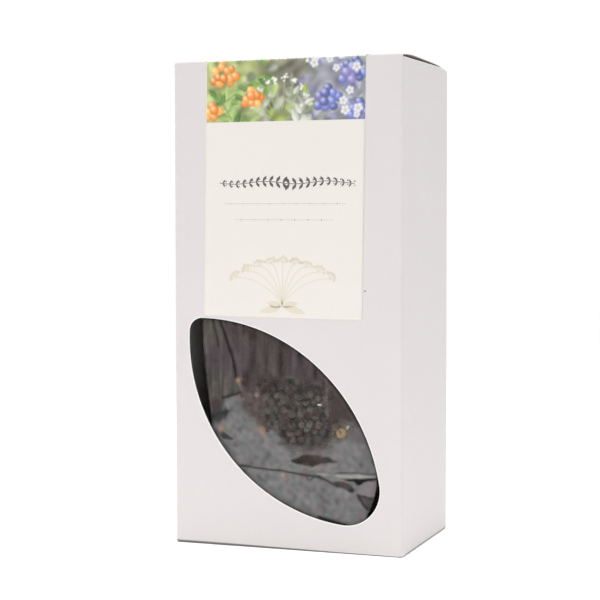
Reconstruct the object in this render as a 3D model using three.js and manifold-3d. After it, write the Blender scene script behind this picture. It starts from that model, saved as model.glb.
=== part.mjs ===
// A folding carton of dried elderberries, with a leaf-shaped window in its front panel.
// One die-cut sheet of white board makes the four walls, the glued bottom, two dust flaps
// and a tucked lid. A paper label runs up the front and over onto the lid as a seal. A clear
// block-bottom bag stands inside and holds the berries.
//
// Millimetres, +Z up. The origin is the centre of the carton's base, the windowed front
// faces -Y, and +X is to its right.

import * as THREE from 'three';
import { mergeVertices } from 'three/addons/utils/BufferGeometryUtils.js';
import Module from 'manifold-3d';

// Carton
const width = 98;
const depth = 68;
const height = 198;
const board = 0.5;
const foldRadius = 1;
const foldSteps = 3;
const footRadius = 0.8;
const playGap = 0.3;
const fuse = 0.1;

// Window: two arcs that cross near its tips, given from the front panel's lower left corner
const upperArc = { x: 11.6, z: 15.8, radius: 77.8 };
const lowerArc = { x: 80.4, z: 85, radius: 74 };
const upperTipRadius = 5.5;
const lowerTipRadius = 14.5;
const windowArcSteps = 14;

// Lid and its tuck flap
const lidFrontUnderside = height - 0.1;
const lidRearUnderside = height - 0.7;
const lidArch = 1.5;
const lidArchPower = 4;
const lidSideGap = 0.3;
const lidSteps = 14;
const tuckLength = 14;
const tuckSideGap = 4;
const tuckCornerRadius = 9;
const tuckLean = THREE.MathUtils.degToRad(12);
const tuckCreaseDrop = 0.35;

// Dust flaps under the lid
const dustTop = height - 0.5;
const dustLength = 30;
const dustFrontSetback = 4;
const dustRearSetback = 3;
const dustFrontTaper = 4;
const dustRearTaper = 16.5;

// Glued bottom and side seam
const innerFlapReach = 0.7;
const bottomSideFlap = 30;
const seamLap = 14;
const seamEndGap = 5;

// Paper label, its corners given from the front panel's lower left corner
const labelPaper = 0.3;
const labelTopLeft = { x: 14.4, z: height + 0.3 };
const labelTopRight = { x: 82.8, z: height + 0.3 };
const labelBottomRight = { x: 81.3, z: 93.8 };
const labelBottomLeft = { x: 12.9, z: 94.5 };
const sealReach = 25;

// Bag of clear film
const film = 0.4;
const bagCentreX = 1;
const bagCentreY = -0.7;
const bagHalf = { x: 37.6, y: 32, z: 33.5 };
const bagFloor = 1.8;
const bagRoundness = 12;
const bagPleatStart = 84;
const bagShoulder = 98;
const bagSealBase = 150;
const bagTop = 166;
const bagSealHalf = 1;
const bagTuck = 11;
const pleatDepth = 1.6;
const pleatCount = 4;
const bagFloorRings = [[0.45, 1], [0.85, 1], [1, 1], [1, 0.75]];
const bagClosingSteps = 4;
const bagAcross = 16;
const bagAlong = 10;

// Dried berries
const berryClear = 0.8;
const berryDetail = 11;
const berryRelief = 1.7;
const berryHeightSpread = 0.7;
const berryShift = 0.022;
const berryLeftDrop = 3.5;
const berryRearRise = 14;
const berrySeed = 31;

const frontFace = -depth / 2;
const backFace = depth / 2;
const lidHingeY = backFace - board / 2;
const lidHingeZ = lidRearUnderside + board / 2;
const dustHingeZ = dustTop - board / 2;

const wasm = await Module();
wasm.setup();

function toSolid(geometry) {
  const bare = geometry.clone();
  bare.deleteAttribute('normal');
  bare.deleteAttribute('uv');
  const merged = mergeVertices(bare, 1e-4);
  return new wasm.Manifold(new wasm.Mesh({
    numProp: 3,
    vertProperties: merged.attributes.position.array,
    triVerts: merged.index.array,
  }));
}

function toGeometry(solid) {
  const mesh = solid.getMesh();
  const geometry = new THREE.BufferGeometry();
  geometry.setAttribute('position', new THREE.BufferAttribute(mesh.vertProperties, 3));
  geometry.setIndex(new THREE.BufferAttribute(mesh.triVerts, 1));
  return geometry;
}

// An axis-aligned slab between two corners.
function slab(low, high) {
  const size = high.map((value, axis) => value - low[axis]);
  const geometry = new THREE.BoxGeometry(...size);
  return geometry.translate(...low.map((value, axis) => value + size[axis] / 2));
}

// A shape drawn in x and z, given its thickness from y = front backwards.
function uprightPlate(shape, front, thickness, curveSegments = 6) {
  const geometry = new THREE.ExtrudeGeometry(shape, {
    depth: thickness, bevelEnabled: false, curveSegments,
  });
  return geometry.rotateX(Math.PI / 2).translate(0, front + thickness, 0);
}

// A shape drawn in y and z, run along x across a span centred on zero.
function crossSection(shape, span) {
  const geometry = new THREE.ExtrudeGeometry(shape, { depth: span, bevelEnabled: false });
  return geometry.rotateX(Math.PI / 2).rotateZ(Math.PI / 2).translate(-span / 2, 0, 0);
}

// The carton's section, drawn in from its outer faces and its folds by an inset.
function cartonSection(inset) {
  const radius = foldRadius - inset;
  const x = width / 2 - foldRadius;
  const y = depth / 2 - foldRadius;
  const shape = new THREE.Shape();
  shape.absarc(x, y, radius, 0, Math.PI / 2, false);
  shape.absarc(-x, y, radius, Math.PI / 2, Math.PI, false);
  shape.absarc(-x, -y, radius, Math.PI, 1.5 * Math.PI, false);
  shape.absarc(x, -y, radius, 1.5 * Math.PI, 2 * Math.PI, false);
  shape.closePath();
  return shape;
}

// The carton's outside as one block, with rounded upright folds and a rounded foot.
function outerBlock() {
  const ringAt = (inset, z) => {
    const points = cartonSection(inset).getPoints(foldSteps).slice(0, -1);
    return points.map(({ x, y }) => new THREE.Vector3(x, y, z));
  };
  const foot = Array.from({ length: foldSteps + 1 }, (_, step) => {
    const angle = Math.PI / 2 * step / foldSteps;
    return ringAt(footRadius * (1 - Math.sin(angle)), footRadius * (1 - Math.cos(angle)));
  });
  return loftRings([...foot, ringAt(0, height)]);
}

// What the four walls enclose, from below the floor to above the top.
function hollow() {
  const geometry = new THREE.ExtrudeGeometry(cartonSection(board), {
    depth: 2 * height, bevelEnabled: false, curveSegments: foldSteps,
  });
  return geometry.translate(0, 0, -height / 2);
}

// Where a small circle that rounds one tip of the window has its centre: it touches both
// arcs from inside, so it lies one tip radius nearer to each arc's own centre.
function tipCentre(tipRadius, side) {
  const reachUpper = upperArc.radius - tipRadius;
  const reachLower = lowerArc.radius - tipRadius;
  const dx = lowerArc.x - upperArc.x;
  const dz = lowerArc.z - upperArc.z;
  const apart = Math.hypot(dx, dz);
  const along = (reachUpper ** 2 - reachLower ** 2 + apart ** 2) / (2 * apart);
  const across = side * Math.sqrt(reachUpper ** 2 - along ** 2);
  return {
    x: upperArc.x + (along * dx - across * dz) / apart,
    z: upperArc.z + (along * dz + across * dx) / apart,
  };
}

// The window's outline, clockwise: upper arc, lower right tip, lower arc, upper left tip.
function windowOutline() {
  const shape = new THREE.Shape();
  const upperTip = tipCentre(upperTipRadius, 1);
  const lowerTip = tipCentre(lowerTipRadius, -1);
  const angleAt = (arc, tip) => Math.atan2(tip.z - arc.z, tip.x - arc.x);
  const arcTo = (arc, radius, start, end) => {
    shape.absarc(arc.x - width / 2, arc.z, radius, start, end, true);
  };
  arcTo(upperArc, upperArc.radius, angleAt(upperArc, upperTip), angleAt(upperArc, lowerTip));
  arcTo(lowerTip, lowerTipRadius, angleAt(upperArc, lowerTip), angleAt(lowerArc, lowerTip));
  arcTo(lowerArc, lowerArc.radius, angleAt(lowerArc, lowerTip), angleAt(lowerArc, upperTip));
  arcTo(upperTip, upperTipRadius, angleAt(lowerArc, upperTip), angleAt(upperArc, upperTip));
  return shape;
}

// One of the two short flaps that close the bottom from the sides, narrower at its tip.
function bottomSideFlapPlate(side) {
  const root = side * (width / 2 - board + fuse);
  const tip = side * (width / 2 - bottomSideFlap);
  const halfRoot = depth / 2 - board - playGap;
  const halfTip = halfRoot - seamLap / 2;
  const shape = new THREE.Shape([
    new THREE.Vector2(root, -halfRoot),
    new THREE.Vector2(root, halfRoot),
    new THREE.Vector2(tip, halfTip),
    new THREE.Vector2(tip, -halfTip),
  ]);
  const geometry = new THREE.ExtrudeGeometry(shape, {
    depth: board + fuse, bevelEnabled: false,
  });
  return geometry.translate(0, 0, 2 * board - fuse);
}

// The walls with the window, the glued bottom and the seam's lap, all one sheet of board.
function cartonBody() {
  const innerX = width / 2 - board + fuse;
  const innerY = depth / 2 - board + fuse;
  const seamBack = backFace - board + fuse;
  const beyond = 1;
  const added = [
    slab([-innerX, -innerY, 0], [innerX, innerY, board]),
    slab([-innerX, -innerY, board - fuse], [innerX, innerFlapReach * innerY, 2 * board]),
    bottomSideFlapPlate(-1),
    bottomSideFlapPlate(1),
    slab([-innerX, seamBack - seamLap, seamEndGap],
      [-width / 2 + 2 * board, seamBack, height - seamEndGap]),
  ];
  const removed = [
    slab([-width, frontFace + board, dustHingeZ - board / 2 - playGap],
      [width, backFace - board, height + beyond]),
    slab([-width, backFace - board - fuse, lidHingeZ - board / 2 - playGap],
      [width, backFace + beyond, height + beyond]),
    uprightPlate(windowOutline(), frontFace - beyond, board + 2 * beyond, windowArcSteps),
  ];
  const outside = toSolid(outerBlock());
  let solid = outside.subtract(toSolid(hollow()));
  added.forEach((piece) => { solid = solid.add(toSolid(piece)); });
  removed.forEach((piece) => { solid = solid.subtract(toSolid(piece)); });
  return toGeometry(solid.intersect(outside));
}

// The height of the lid's underside. Its front crease lies a little above its rear one, and
// between them it bulges: flat across the middle and steep at the ends.
function lidUnderside(y) {
  const rearwards = (y - frontFace) / depth;
  const creases = THREE.MathUtils.lerp(lidFrontUnderside, lidRearUnderside, rearwards);
  return creases + lidArch * (1 - Math.abs(2 * y / depth) ** lidArchPower);
}

// A strip that follows the lid at a distance above its underside, as points in y and z from
// front to rear.
function archedOutline(front, rear, lift, thickness) {
  const stations = Array.from({ length: lidSteps + 1 }, (_, step) => (
    front + (rear - front) * step / lidSteps
  ));
  const below = stations.map((y) => new THREE.Vector2(y, lidUnderside(y) + lift));
  const above = below.map((point) => new THREE.Vector2(point.x, point.y + thickness));
  return { below, above };
}

// The lid's panel, with a rounded rear edge centred on its crease.
function lidPanel() {
  const front = frontFace + board + playGap;
  const { below, above } = archedOutline(front, lidHingeY, 0, board);
  const shape = new THREE.Shape(below);
  shape.absarc(lidHingeY, lidHingeZ, board / 2, -Math.PI / 2, Math.PI / 2, false);
  above.reverse().forEach((point) => shape.lineTo(point.x, point.y));
  shape.closePath();
  return crossSection(shape, width - 2 * lidSideGap);
}

// The flap at the lid's front that tucks in behind the front panel, leaning inwards.
function tuckFlap() {
  const half = width / 2 - board - tuckSideGap;
  const shape = new THREE.Shape();
  shape.moveTo(half, 0);
  shape.lineTo(-half, 0);
  shape.absarc(-half + tuckCornerRadius, -tuckLength + tuckCornerRadius, tuckCornerRadius,
    Math.PI, 1.5 * Math.PI, false);
  shape.absarc(half - tuckCornerRadius, -tuckLength + tuckCornerRadius, tuckCornerRadius,
    1.5 * Math.PI, 2 * Math.PI, false);
  shape.closePath();
  return uprightPlate(shape, -board / 2, board);
}

// A side flap that folds in under the lid, with a rounded root centred on its crease. Its
// rear edge is cut back so that the lid always rises ahead of it.
function dustFlap(side) {
  const crease = side * (width / 2 - board / 2);
  const tip = crease - side * dustLength;
  const frontRoot = frontFace + dustFrontSetback;
  const rearRoot = lidHingeY - dustRearSetback;
  const outline = new THREE.Shape([
    new THREE.Vector2(crease, frontRoot),
    new THREE.Vector2(crease, rearRoot),
    new THREE.Vector2(tip, rearRoot - dustRearTaper),
    new THREE.Vector2(tip, frontRoot + dustFrontTaper),
  ]);
  const plate = new THREE.ExtrudeGeometry(outline, { depth: board, bevelEnabled: false });
  const root = new THREE.CylinderGeometry(board / 2, board / 2, rearRoot - frontRoot, 12);
  root.translate(crease, (frontRoot + rearRoot) / 2, board / 2);
  const solid = toSolid(plate).add(toSolid(root));
  return toGeometry(solid).translate(0, 0, dustTop - board);
}

// The label's front part, flat on the front panel.
function labelFront() {
  const corners = [labelBottomLeft, labelBottomRight, labelTopRight, labelTopLeft];
  const shape = new THREE.Shape(corners.map(({ x, z }) => new THREE.Vector2(x - width / 2, z)));
  return uprightPlate(shape, frontFace - playGap - labelPaper, labelPaper);
}

// The label's end, which runs over the front edge and lies along the lid.
function sealTab() {
  const front = frontFace - playGap - labelPaper;
  const lift = board + playGap;
  const { below, above } = archedOutline(front, frontFace + sealReach, lift, labelPaper);
  const shape = new THREE.Shape([...below, ...above.reverse()]);
  const span = labelTopRight.x - labelTopLeft.x;
  const centre = (labelTopRight.x + labelTopLeft.x) / 2 - width / 2;
  return crossSection(shape, span).translate(centre, 0, 0);
}

// The length of a vector measured by a high power: equal lengths make a box with soft edges.
function powerLength(...parts) {
  const sum = parts.reduce((total, part) => total + Math.abs(part) ** bagRoundness, 0);
  return sum ** (1 / bagRoundness);
}

// Points in order round a unit square, anticlockwise from its front left corner.
function squareLoop() {
  const loop = [];
  for (let i = 0; i < bagAcross; i += 1) loop.push([2 * i / bagAcross - 1, -1]);
  for (let i = 0; i < bagAlong; i += 1) loop.push([1, 2 * i / bagAlong - 1]);
  for (let i = 0; i < bagAcross; i += 1) loop.push([1 - 2 * i / bagAcross, 1]);
  for (let i = 0; i < bagAlong; i += 1) loop.push([-1, 1 - 2 * i / bagAlong]);
  return loop;
}

const bagCentreZ = bagFloor + bagHalf.z;

// A ring of the bag's block bottom. The ring is drawn in by spread and lies below the
// bag's middle by drop, both as shares of the half sizes.
function bottomRing(spread, drop, inset) {
  return squareLoop().map(([qx, qy]) => {
    const size = powerLength(spread * qx, spread * qy, drop);
    return new THREE.Vector3(
      bagCentreX + (bagHalf.x - inset) * spread * qx / size,
      bagCentreY + (bagHalf.y - inset) * spread * qy / size,
      bagCentreZ - (bagHalf.z - inset) * drop / size,
    );
  });
}

// A ring of the bag's upper part. Above the shoulder the front and back come together, the
// sides tuck in as gussets, and upright pleats dent the film.
function upperRing(z, inset) {
  const smooth = THREE.MathUtils.smoothstep;
  const closing = smooth(z, bagShoulder, bagSealBase);
  const halfY = THREE.MathUtils.lerp(bagHalf.y, bagSealHalf, closing) - inset;
  const tuck = bagTuck * Math.sin(Math.PI * closing);
  const dent = pleatDepth * (smooth(z, bagPleatStart, bagShoulder) - closing);
  return squareLoop().map(([qx, qy]) => {
    const size = powerLength(qx, qy);
    const isSide = Math.abs(qx) === 1;
    const gusset = isSide ? Math.sign(qx) * tuck * (1 - Math.abs(qy)) : 0;
    const pleat = isSide ? 0 : dent * Math.sin(pleatCount * Math.PI * (qx + 1) / 2) ** 2;
    return new THREE.Vector3(
      bagCentreX + (bagHalf.x - inset) * qx / size - gusset,
      bagCentreY + halfY * qy / size - Math.sign(qy) * pleat,
      z,
    );
  });
}

// One skin of the bag from its floor up to its mouth.
function bagSkin(inset) {
  const lower = bagFloorRings.map(([spread, drop]) => bottomRing(spread, drop, inset));
  const closingRings = Array.from({ length: bagClosingSteps }, (_, step) => (
    bagShoulder + (bagSealBase - bagShoulder) * step / bagClosingSteps
  ));
  const heights = [bagCentreZ, bagPleatStart, ...closingRings, bagSealBase, bagTop];
  return [...lower, ...heights.map((z) => upperRing(z, inset))];
}

// Strips of triangles between rings in order, closed by a fan at the first and last ring.
function loftRings(rings) {
  const count = rings[0].length;
  const points = rings.flat();
  const index = [];
  for (let row = 0; row < rings.length - 1; row += 1) {
    for (let i = 0; i < count; i += 1) {
      const a = row * count + i;
      const b = row * count + (i + 1) % count;
      index.push(a, b, b + count, a, b + count, a + count);
    }
  }
  [0, rings.length - 1].forEach((row) => {
    const pole = points.length;
    points.push(rings[row].reduce((sum, p) => sum.add(p), new THREE.Vector3())
      .divideScalar(count));
    for (let i = 0; i < count; i += 1) {
      const a = row * count + i;
      const b = row * count + (i + 1) % count;
      index.push(...(row === 0 ? [pole, b, a] : [pole, a, b]));
    }
  });
  const geometry = new THREE.BufferGeometry().setFromPoints(points);
  geometry.setIndex(index);
  return geometry;
}

// The bag: its outer skin up to the mouth, then its inner skin back down to the floor.
function innerBag() {
  return loftRings([...bagSkin(0), ...bagSkin(film).reverse()]);
}

// A direction carried onto the berries' block: the direction meets a cube, its parts are
// evened out by their angle, and the cube's edges are softened.
function onBlock(direction, half) {
  const largest = Math.max(...direction.toArray().map(Math.abs));
  const even = direction.toArray().map((part) => Math.atan(part / largest) * 4 / Math.PI);
  const size = powerLength(...even);
  return new THREE.Vector3(half.x * even[0], half.y * even[1], half.z * even[2])
    .divideScalar(size);
}

// The berries as one packed block with a bump for each berry. The bumps' tips are the
// points of a geodesic ball carried onto the block, and the low points between them are
// the middles of its triangles, pressed in. The fill lies higher at the rear and right.
function driedBerries() {
  const inset = film + berryClear;
  const half = {
    x: bagHalf.x - inset, y: bagHalf.y - inset, z: bagHalf.z - inset,
  };
  const ball = new THREE.IcosahedronGeometry(1, berryDetail);
  ball.deleteAttribute('normal');
  ball.deleteAttribute('uv');
  const lattice = mergeVertices(ball, 1e-4);
  const tips = lattice.attributes.position;
  THREE.MathUtils.seededRandom(berrySeed);
  const jitter = () => THREE.MathUtils.seededRandom() - 0.5;
  const directions = Array.from({ length: tips.count }, (_, i) => (
    new THREE.Vector3().fromBufferAttribute(tips, i)
      .add(new THREE.Vector3(jitter(), jitter(), jitter()).multiplyScalar(2 * berryShift))
      .normalize()
  ));
  const pressIn = (point, amount) => point.multiplyScalar(1 - amount / point.length());
  const points = directions.map((direction) => (
    pressIn(onBlock(direction, half), berryHeightSpread * THREE.MathUtils.seededRandom())
  ));

  const corners = lattice.index.array;
  const owner = new Map();
  for (let start = 0; start < corners.length; start += 3) {
    const triangle = [corners[start], corners[start + 1], corners[start + 2]];
    const middle = new THREE.Vector3();
    triangle.forEach((corner) => middle.add(directions[corner]));
    const low = points.push(pressIn(onBlock(middle.normalize(), half), berryRelief)) - 1;
    triangle.forEach((corner, i) => owner.set(`${corner} ${triangle[(i + 1) % 3]}`, low));
  }
  const index = [];
  owner.forEach((low, edge) => {
    const [from, to] = edge.split(' ');
    index.push(Number(from), owner.get(`${to} ${from}`), low);
  });

  points.forEach((point) => {
    const lift = Math.max(point.z, 0) / half.z;
    const rearwards = (1 + point.y / half.y) / 2;
    const leftwards = (1 - point.x / half.x) / 2;
    point.z += lift * (berryRearRise * rearwards - berryLeftDrop * leftwards);
    point.add(new THREE.Vector3(bagCentreX, bagCentreY, bagCentreZ));
  });
  const geometry = new THREE.BufferGeometry().setFromPoints(points);
  geometry.setIndex(index);
  return geometry;
}

const group = new THREE.Group();

function addPart(name, geometry, color, roughness) {
  const material = new THREE.MeshStandardMaterial({ color, roughness, metalness: 0 });
  const mesh = new THREE.Mesh(geometry, material);
  mesh.name = name;
  group.add(mesh);
  return mesh;
}

const boardWhite = 0xe9e4e2;
addPart('carton_body', cartonBody(), boardWhite, 0.7);
addPart('lid_panel', lidPanel(), boardWhite, 0.7);
const tuck = addPart('tuck_flap', tuckFlap(), boardWhite, 0.7);
const tuckHingeY = frontFace + board + playGap + board / 2;
tuck.position.set(0, tuckHingeY, lidFrontUnderside - tuckCreaseDrop);
tuck.rotation.x = tuckLean;
addPart('dust_flap_left', dustFlap(-1), boardWhite, 0.7);
addPart('dust_flap_right', dustFlap(1), boardWhite, 0.7);
addPart('label_front', labelFront(), 0xf1ece6, 0.6);
addPart('label_seal_tab', sealTab(), 0xf1ece6, 0.6);
addPart('inner_bag', innerBag(), 0xc9cbcc, 0.2);
addPart('dried_berries', driedBerries(), 0x2a1b22, 0.8);

export default group;
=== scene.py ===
"""The finish of a windowed carton of dried elderberries: white folding board, a cream paper
label with a printed botanical band, a clear gusseted bag and the dried berries in it."""

import math

import bpy
import numpy as np
from mathutils import Matrix, Vector


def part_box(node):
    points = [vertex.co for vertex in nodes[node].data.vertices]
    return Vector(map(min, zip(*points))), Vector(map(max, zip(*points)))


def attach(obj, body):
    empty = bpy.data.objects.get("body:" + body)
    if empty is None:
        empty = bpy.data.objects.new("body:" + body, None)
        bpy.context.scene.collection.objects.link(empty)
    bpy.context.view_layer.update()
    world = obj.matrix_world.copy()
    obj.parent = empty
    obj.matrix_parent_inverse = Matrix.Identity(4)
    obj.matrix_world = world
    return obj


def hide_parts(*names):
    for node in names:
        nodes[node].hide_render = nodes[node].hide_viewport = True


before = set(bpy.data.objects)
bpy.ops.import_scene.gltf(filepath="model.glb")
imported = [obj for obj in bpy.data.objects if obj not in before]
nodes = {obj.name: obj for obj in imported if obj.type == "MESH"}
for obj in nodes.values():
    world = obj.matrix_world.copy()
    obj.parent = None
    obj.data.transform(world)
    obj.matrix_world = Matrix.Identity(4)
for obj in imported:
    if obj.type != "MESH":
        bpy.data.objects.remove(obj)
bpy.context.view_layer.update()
MM = 0.001


# --- The carton's board --------------------------------------------------------------
# One die-cut sheet of 0.5 mm white folding board makes the walls, the glued bottom, the
# lid and its flaps. Its face is smooth and matt, its back is duller, its cut edges white.

BOARD_FACE = (0.602, 0.571, 0.566, 1)
BOARD_BACK = (0.56, 0.545, 0.515, 1)
BOARD_CUT = (0.86, 0.84, 0.83, 1)
BOARD_RUBBED = (0.55, 0.52, 0.51, 1)
# Bare white fibre at the window's rim; on the creases the same colour is a painted highlight
# where they face up.
BOARD_FIBRE_AND_HIGHLIGHT = (0.74, 0.72, 0.71, 1)
# Painted contact shadow: the dark line along the carton's foot.
BOARD_FOOT_SHADE = (0.17, 0.155, 0.15, 1)
BOARD = 0.5 * MM
HALF_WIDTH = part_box("carton_body")[1].x
HALF_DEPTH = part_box("carton_body")[1].y
FOLD_REACH = 1.4 * MM
FOOT_LEFT = 1.15 * MM
FOOT_RIGHT = 0.45 * MM
FOOT_SIDE_MORE = 0.3 * MM


class Wire:
    """A value in a node tree that changes over the surface. Arithmetic on it adds nodes."""

    def __init__(self, tree, socket):
        self.tree, self.socket = tree, socket

    def calculate(self, operation, *others, **settings):
        """The result of one step of arithmetic on this and other wires or numbers."""
        inputs = dict(enumerate((self, *others)))
        return add_node(self.tree, "Math", inputs, operation=operation, **settings)

    def __add__(self, other):
        return self.calculate("ADD", other)

    def __sub__(self, other):
        return self.calculate("SUBTRACT", other)

    def __rsub__(self, other):
        return self * -1 + other

    def __mul__(self, other):
        return self.calculate("MULTIPLY", other)

    def __gt__(self, other):
        return self.calculate("GREATER_THAN", other)

    def __lt__(self, other):
        return self.calculate("LESS_THAN", other)

    def __abs__(self):
        return self.calculate("ABSOLUTE")

    __rmul__ = __mul__

    def ramp(self, low, high, to_low=0.0, to_high=1.0):
        """This value carried smoothly from one range to another."""
        inputs = {"Value": self, "From Min": low, "From Max": high,
                  "To Min": to_low, "To Max": to_high}
        return add_node(self.tree, "MapRange", inputs, "Result",
                        interpolation_type="SMOOTHSTEP")

    def noise(self, per_metre, detail=3, roughness=0.5, distortion=0.0):
        """Soft cloudy noise between 0 and 1 at these coordinates."""
        inputs = {"Vector": self, "Scale": per_metre, "Detail": detail,
                  "Roughness": roughness, "Distortion": distortion}
        return add_node(self.tree, "TexNoise", inputs)

    def split(self, kind="SeparateXYZ"):
        """The three parts of a place or a colour."""
        first = add_node(self.tree, kind, {0: self})
        return [Wire(self.tree, part) for part in first.socket.node.outputs[:3]]

    def grey(self):
        """The grey whose red, green and blue are all this value."""
        return add_node(self.tree, "CombineColor", {0: self, 1: self, 2: self})


def feed(socket, value):
    """Links a wire to a socket, or sets the socket to a plain value."""
    if isinstance(value, Wire):
        value.tree.links.new(value.socket, socket)
    else:
        socket.default_value = value


def add_node(tree, kind, inputs=(), output=0, **settings):
    """Adds a node to a tree, makes its own settings, then feeds its inputs. It gives one of
    the node's outputs as a wire."""
    node = tree.nodes.new("ShaderNode" + kind)
    for name, value in settings.items():
        setattr(node, name, value)
    for name, value in dict(inputs).items():
        feed(node.inputs[name], value)
    return Wire(tree, node.outputs[output])


def blend(share, first, second, mode="MIX"):
    """The colour that lies a given share of the way from the first colour to the second."""
    wire = next(value for value in (share, first, second) if isinstance(value, Wire))
    return add_node(wire.tree, "Mix", {0: share, 6: first, 7: second}, 2, data_type="RGBA",
                    blend_type=mode)


def new_material(name):
    """An empty material with its Principled shader and its object coordinates."""
    material = bpy.data.materials.new(name)
    material.use_nodes = True
    tree = material.node_tree
    return material, tree.nodes["Principled BSDF"], add_node(tree, "TexCoord", (), "Object")


def finish_material(shader, colour, roughness, height, depth, strength, specular=0.5):
    """Feeds a shader its colour, roughness and sheen, and a bump of a depth in metres."""
    bump = add_node(colour.tree, "Bump", {"Height": height, "Strength": strength,
                                          "Distance": depth})
    for name, value in (("Base Color", colour), ("Roughness", roughness), ("Normal", bump),
                        ("Specular IOR Level", specular)):
        feed(shader.inputs[name], value)


def paper_grain():
    """The effect shared by the board, the label and its inks: a tone that drifts in soft
    clouds with fine specks, and the height of short fibres and of the mottling below them."""
    group = bpy.data.node_groups.new("Paper Grain", "ShaderNodeTree")
    sockets = (("Coordinates", "INPUT", "NodeSocketVector"),
               ("Fibres per Metre", "INPUT", "NodeSocketFloat"),
               ("Cloudiness", "INPUT", "NodeSocketFloat"),
               ("Tone", "OUTPUT", "NodeSocketColor"),
               ("Height", "OUTPUT", "NodeSocketFloat"))
    for name, direction, kind in sockets:
        group.interface.new_socket(name, in_out=direction, socket_type=kind)
    given = group.nodes.new("NodeGroupInput").outputs
    result = group.nodes.new("NodeGroupOutput")
    spot, per_metre, cloudiness = (Wire(group, socket) for socket in given[:3])
    laid = add_node(group, "Mapping", {"Vector": spot, "Scale": (1, 1, 0.45)})
    fibres = laid.noise(per_metre, 3, 0.5, 0.6)
    clouds = spot.noise(38, 4, 0.6)
    drift = (spot.noise(1700, 2) - 0.5) * 0.35 + (clouds - 0.5)
    feed(result.inputs["Tone"], (drift * cloudiness + 1.0).grey())
    feed(result.inputs["Height"], clouds * 0.5 + fibres)
    return group


GRAIN = paper_grain()


def grain(spot, fibres, cloudiness):
    """The Paper Grain effect placed in a material, with its own values."""
    inputs = {"Coordinates": spot, "Fibres per Metre": fibres, "Cloudiness": cloudiness}
    tone = add_node(spot.tree, "Group", inputs, "Tone", node_tree=GRAIN)
    return tone, Wire(spot.tree, tone.socket.node.outputs["Height"])


def carton_masks(spot):
    """Where the carton's walls show the back of the board and where its cut edges, told by how
    deep a point lies in from the outer faces, where they are rubbed, and a painted contact
    shadow along the foot: a dark line that reaches higher at the left than at the right."""
    x, y, z = spot.split()
    across, along = HALF_WIDTH - abs(x), HALF_DEPTH - abs(y)
    depth = across.calculate("MINIMUM", along)
    back = (z > 1.8 * BOARD) * (depth > 0.9 * BOARD)
    cut_front, cut_side = (
        (wall > 0.1 * BOARD) * (wall < 0.9 * BOARD) * (from_fold > FOLD_REACH)
        for wall, from_fold in ((along, across), (across, along)))
    fold = (across + along).ramp(0.2 * MM, 1.3 * MM, 1.0, 0.0)
    foot = z.ramp(0.0, 1.6 * MM, 1.0, 0.0)
    # A painted contact shadow along the foot, reaching higher at the left than at the right.
    shade_top = (x.ramp(-HALF_WIDTH, HALF_WIDTH, FOOT_LEFT, FOOT_RIGHT)
                 + y.ramp(-HALF_DEPTH, 9 * MM - HALF_DEPTH, 0.0, FOOT_SIDE_MORE))
    under = (shade_top - z).ramp(-0.15 * MM, 0.3 * MM)
    return (back, cut_front.calculate("MAXIMUM", cut_side),
            fold.calculate("MAXIMUM", foot), under)


def flap_masks(back_axis, back_sign):
    """The same for a flap, told by its normal: one face is the back, the sides are cut."""
    def masks(spot):
        facing = add_node(spot.tree, "TexCoord", (), "Normal").split()[back_axis]
        cut = abs(facing) < 0.5
        return facing * back_sign > 0.5, cut, cut * 0.3, 0.0
    return masks


def crease_masks(spot):
    """The same for a crease: where it faces up it is painted lighter, a painted highlight for
    the light from above.
    """
    facing = add_node(spot.tree, "TexCoord", (), "Normal").split()[2]
    return 0.0, facing.ramp(0.15, 0.6), 0.0, 0.0


def board_material(name, masks, cut_colour=BOARD_CUT):
    """White board: a duller back, white cut edges, folds that are rubbed in patches, and the
    painted shadow at the foot and painted highlight on the creases that its masks ask for.
    """
    material, shader, spot = new_material(name)
    back, cut, handled, under = masks(spot)
    tone, height = grain(spot, 900, 0.05)
    rubbed = spot.noise(420, 5, 0.7).ramp(0.46, 0.64, 0.05, 0.5) * handled
    colour = blend(rubbed, BOARD_FACE, BOARD_RUBBED)
    for share, next_colour in ((back, BOARD_BACK), (cut, cut_colour), (under, BOARD_FOOT_SHADE)):
        colour = blend(share, colour, next_colour)
    finish_material(shader, blend(1.0, colour, tone, "MULTIPLY"),
                    height.ramp(0.5, 1.1, 0.52, 0.66), height - rubbed * 0.8, 0.06 * MM, 0.25,
                    0.35)
    return material


def dress(node_name, material):
    """Gives a CAD node its material."""
    piece = nodes[node_name]
    piece.data.materials.clear()
    piece.data.materials.append(material)


wall_board = board_material("board_walls", carton_masks)
flap_board = board_material("board_lid_and_flaps", flap_masks(2, -1))
tuck_board = board_material("board_tuck", flap_masks(1, 1))
# The creases carry a painted highlight on their upward faces.
crease_board = board_material("board_creases", crease_masks, BOARD_FIBRE_AND_HIGHLIGHT)
for board_piece, finish in (("carton_body", wall_board), ("lid_panel", flap_board),
                            ("dust_flap_left", flap_board), ("dust_flap_right", flap_board),
                            ("tuck_flap", tuck_board)):
    dress(board_piece, finish)


# --- The board's creases -------------------------------------------------------------
# The walls run on into their flaps over creases pressed in the board. Over each side the
# crease has sprung up into a low arch, and the lid's front crease turns down to its tuck.

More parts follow.
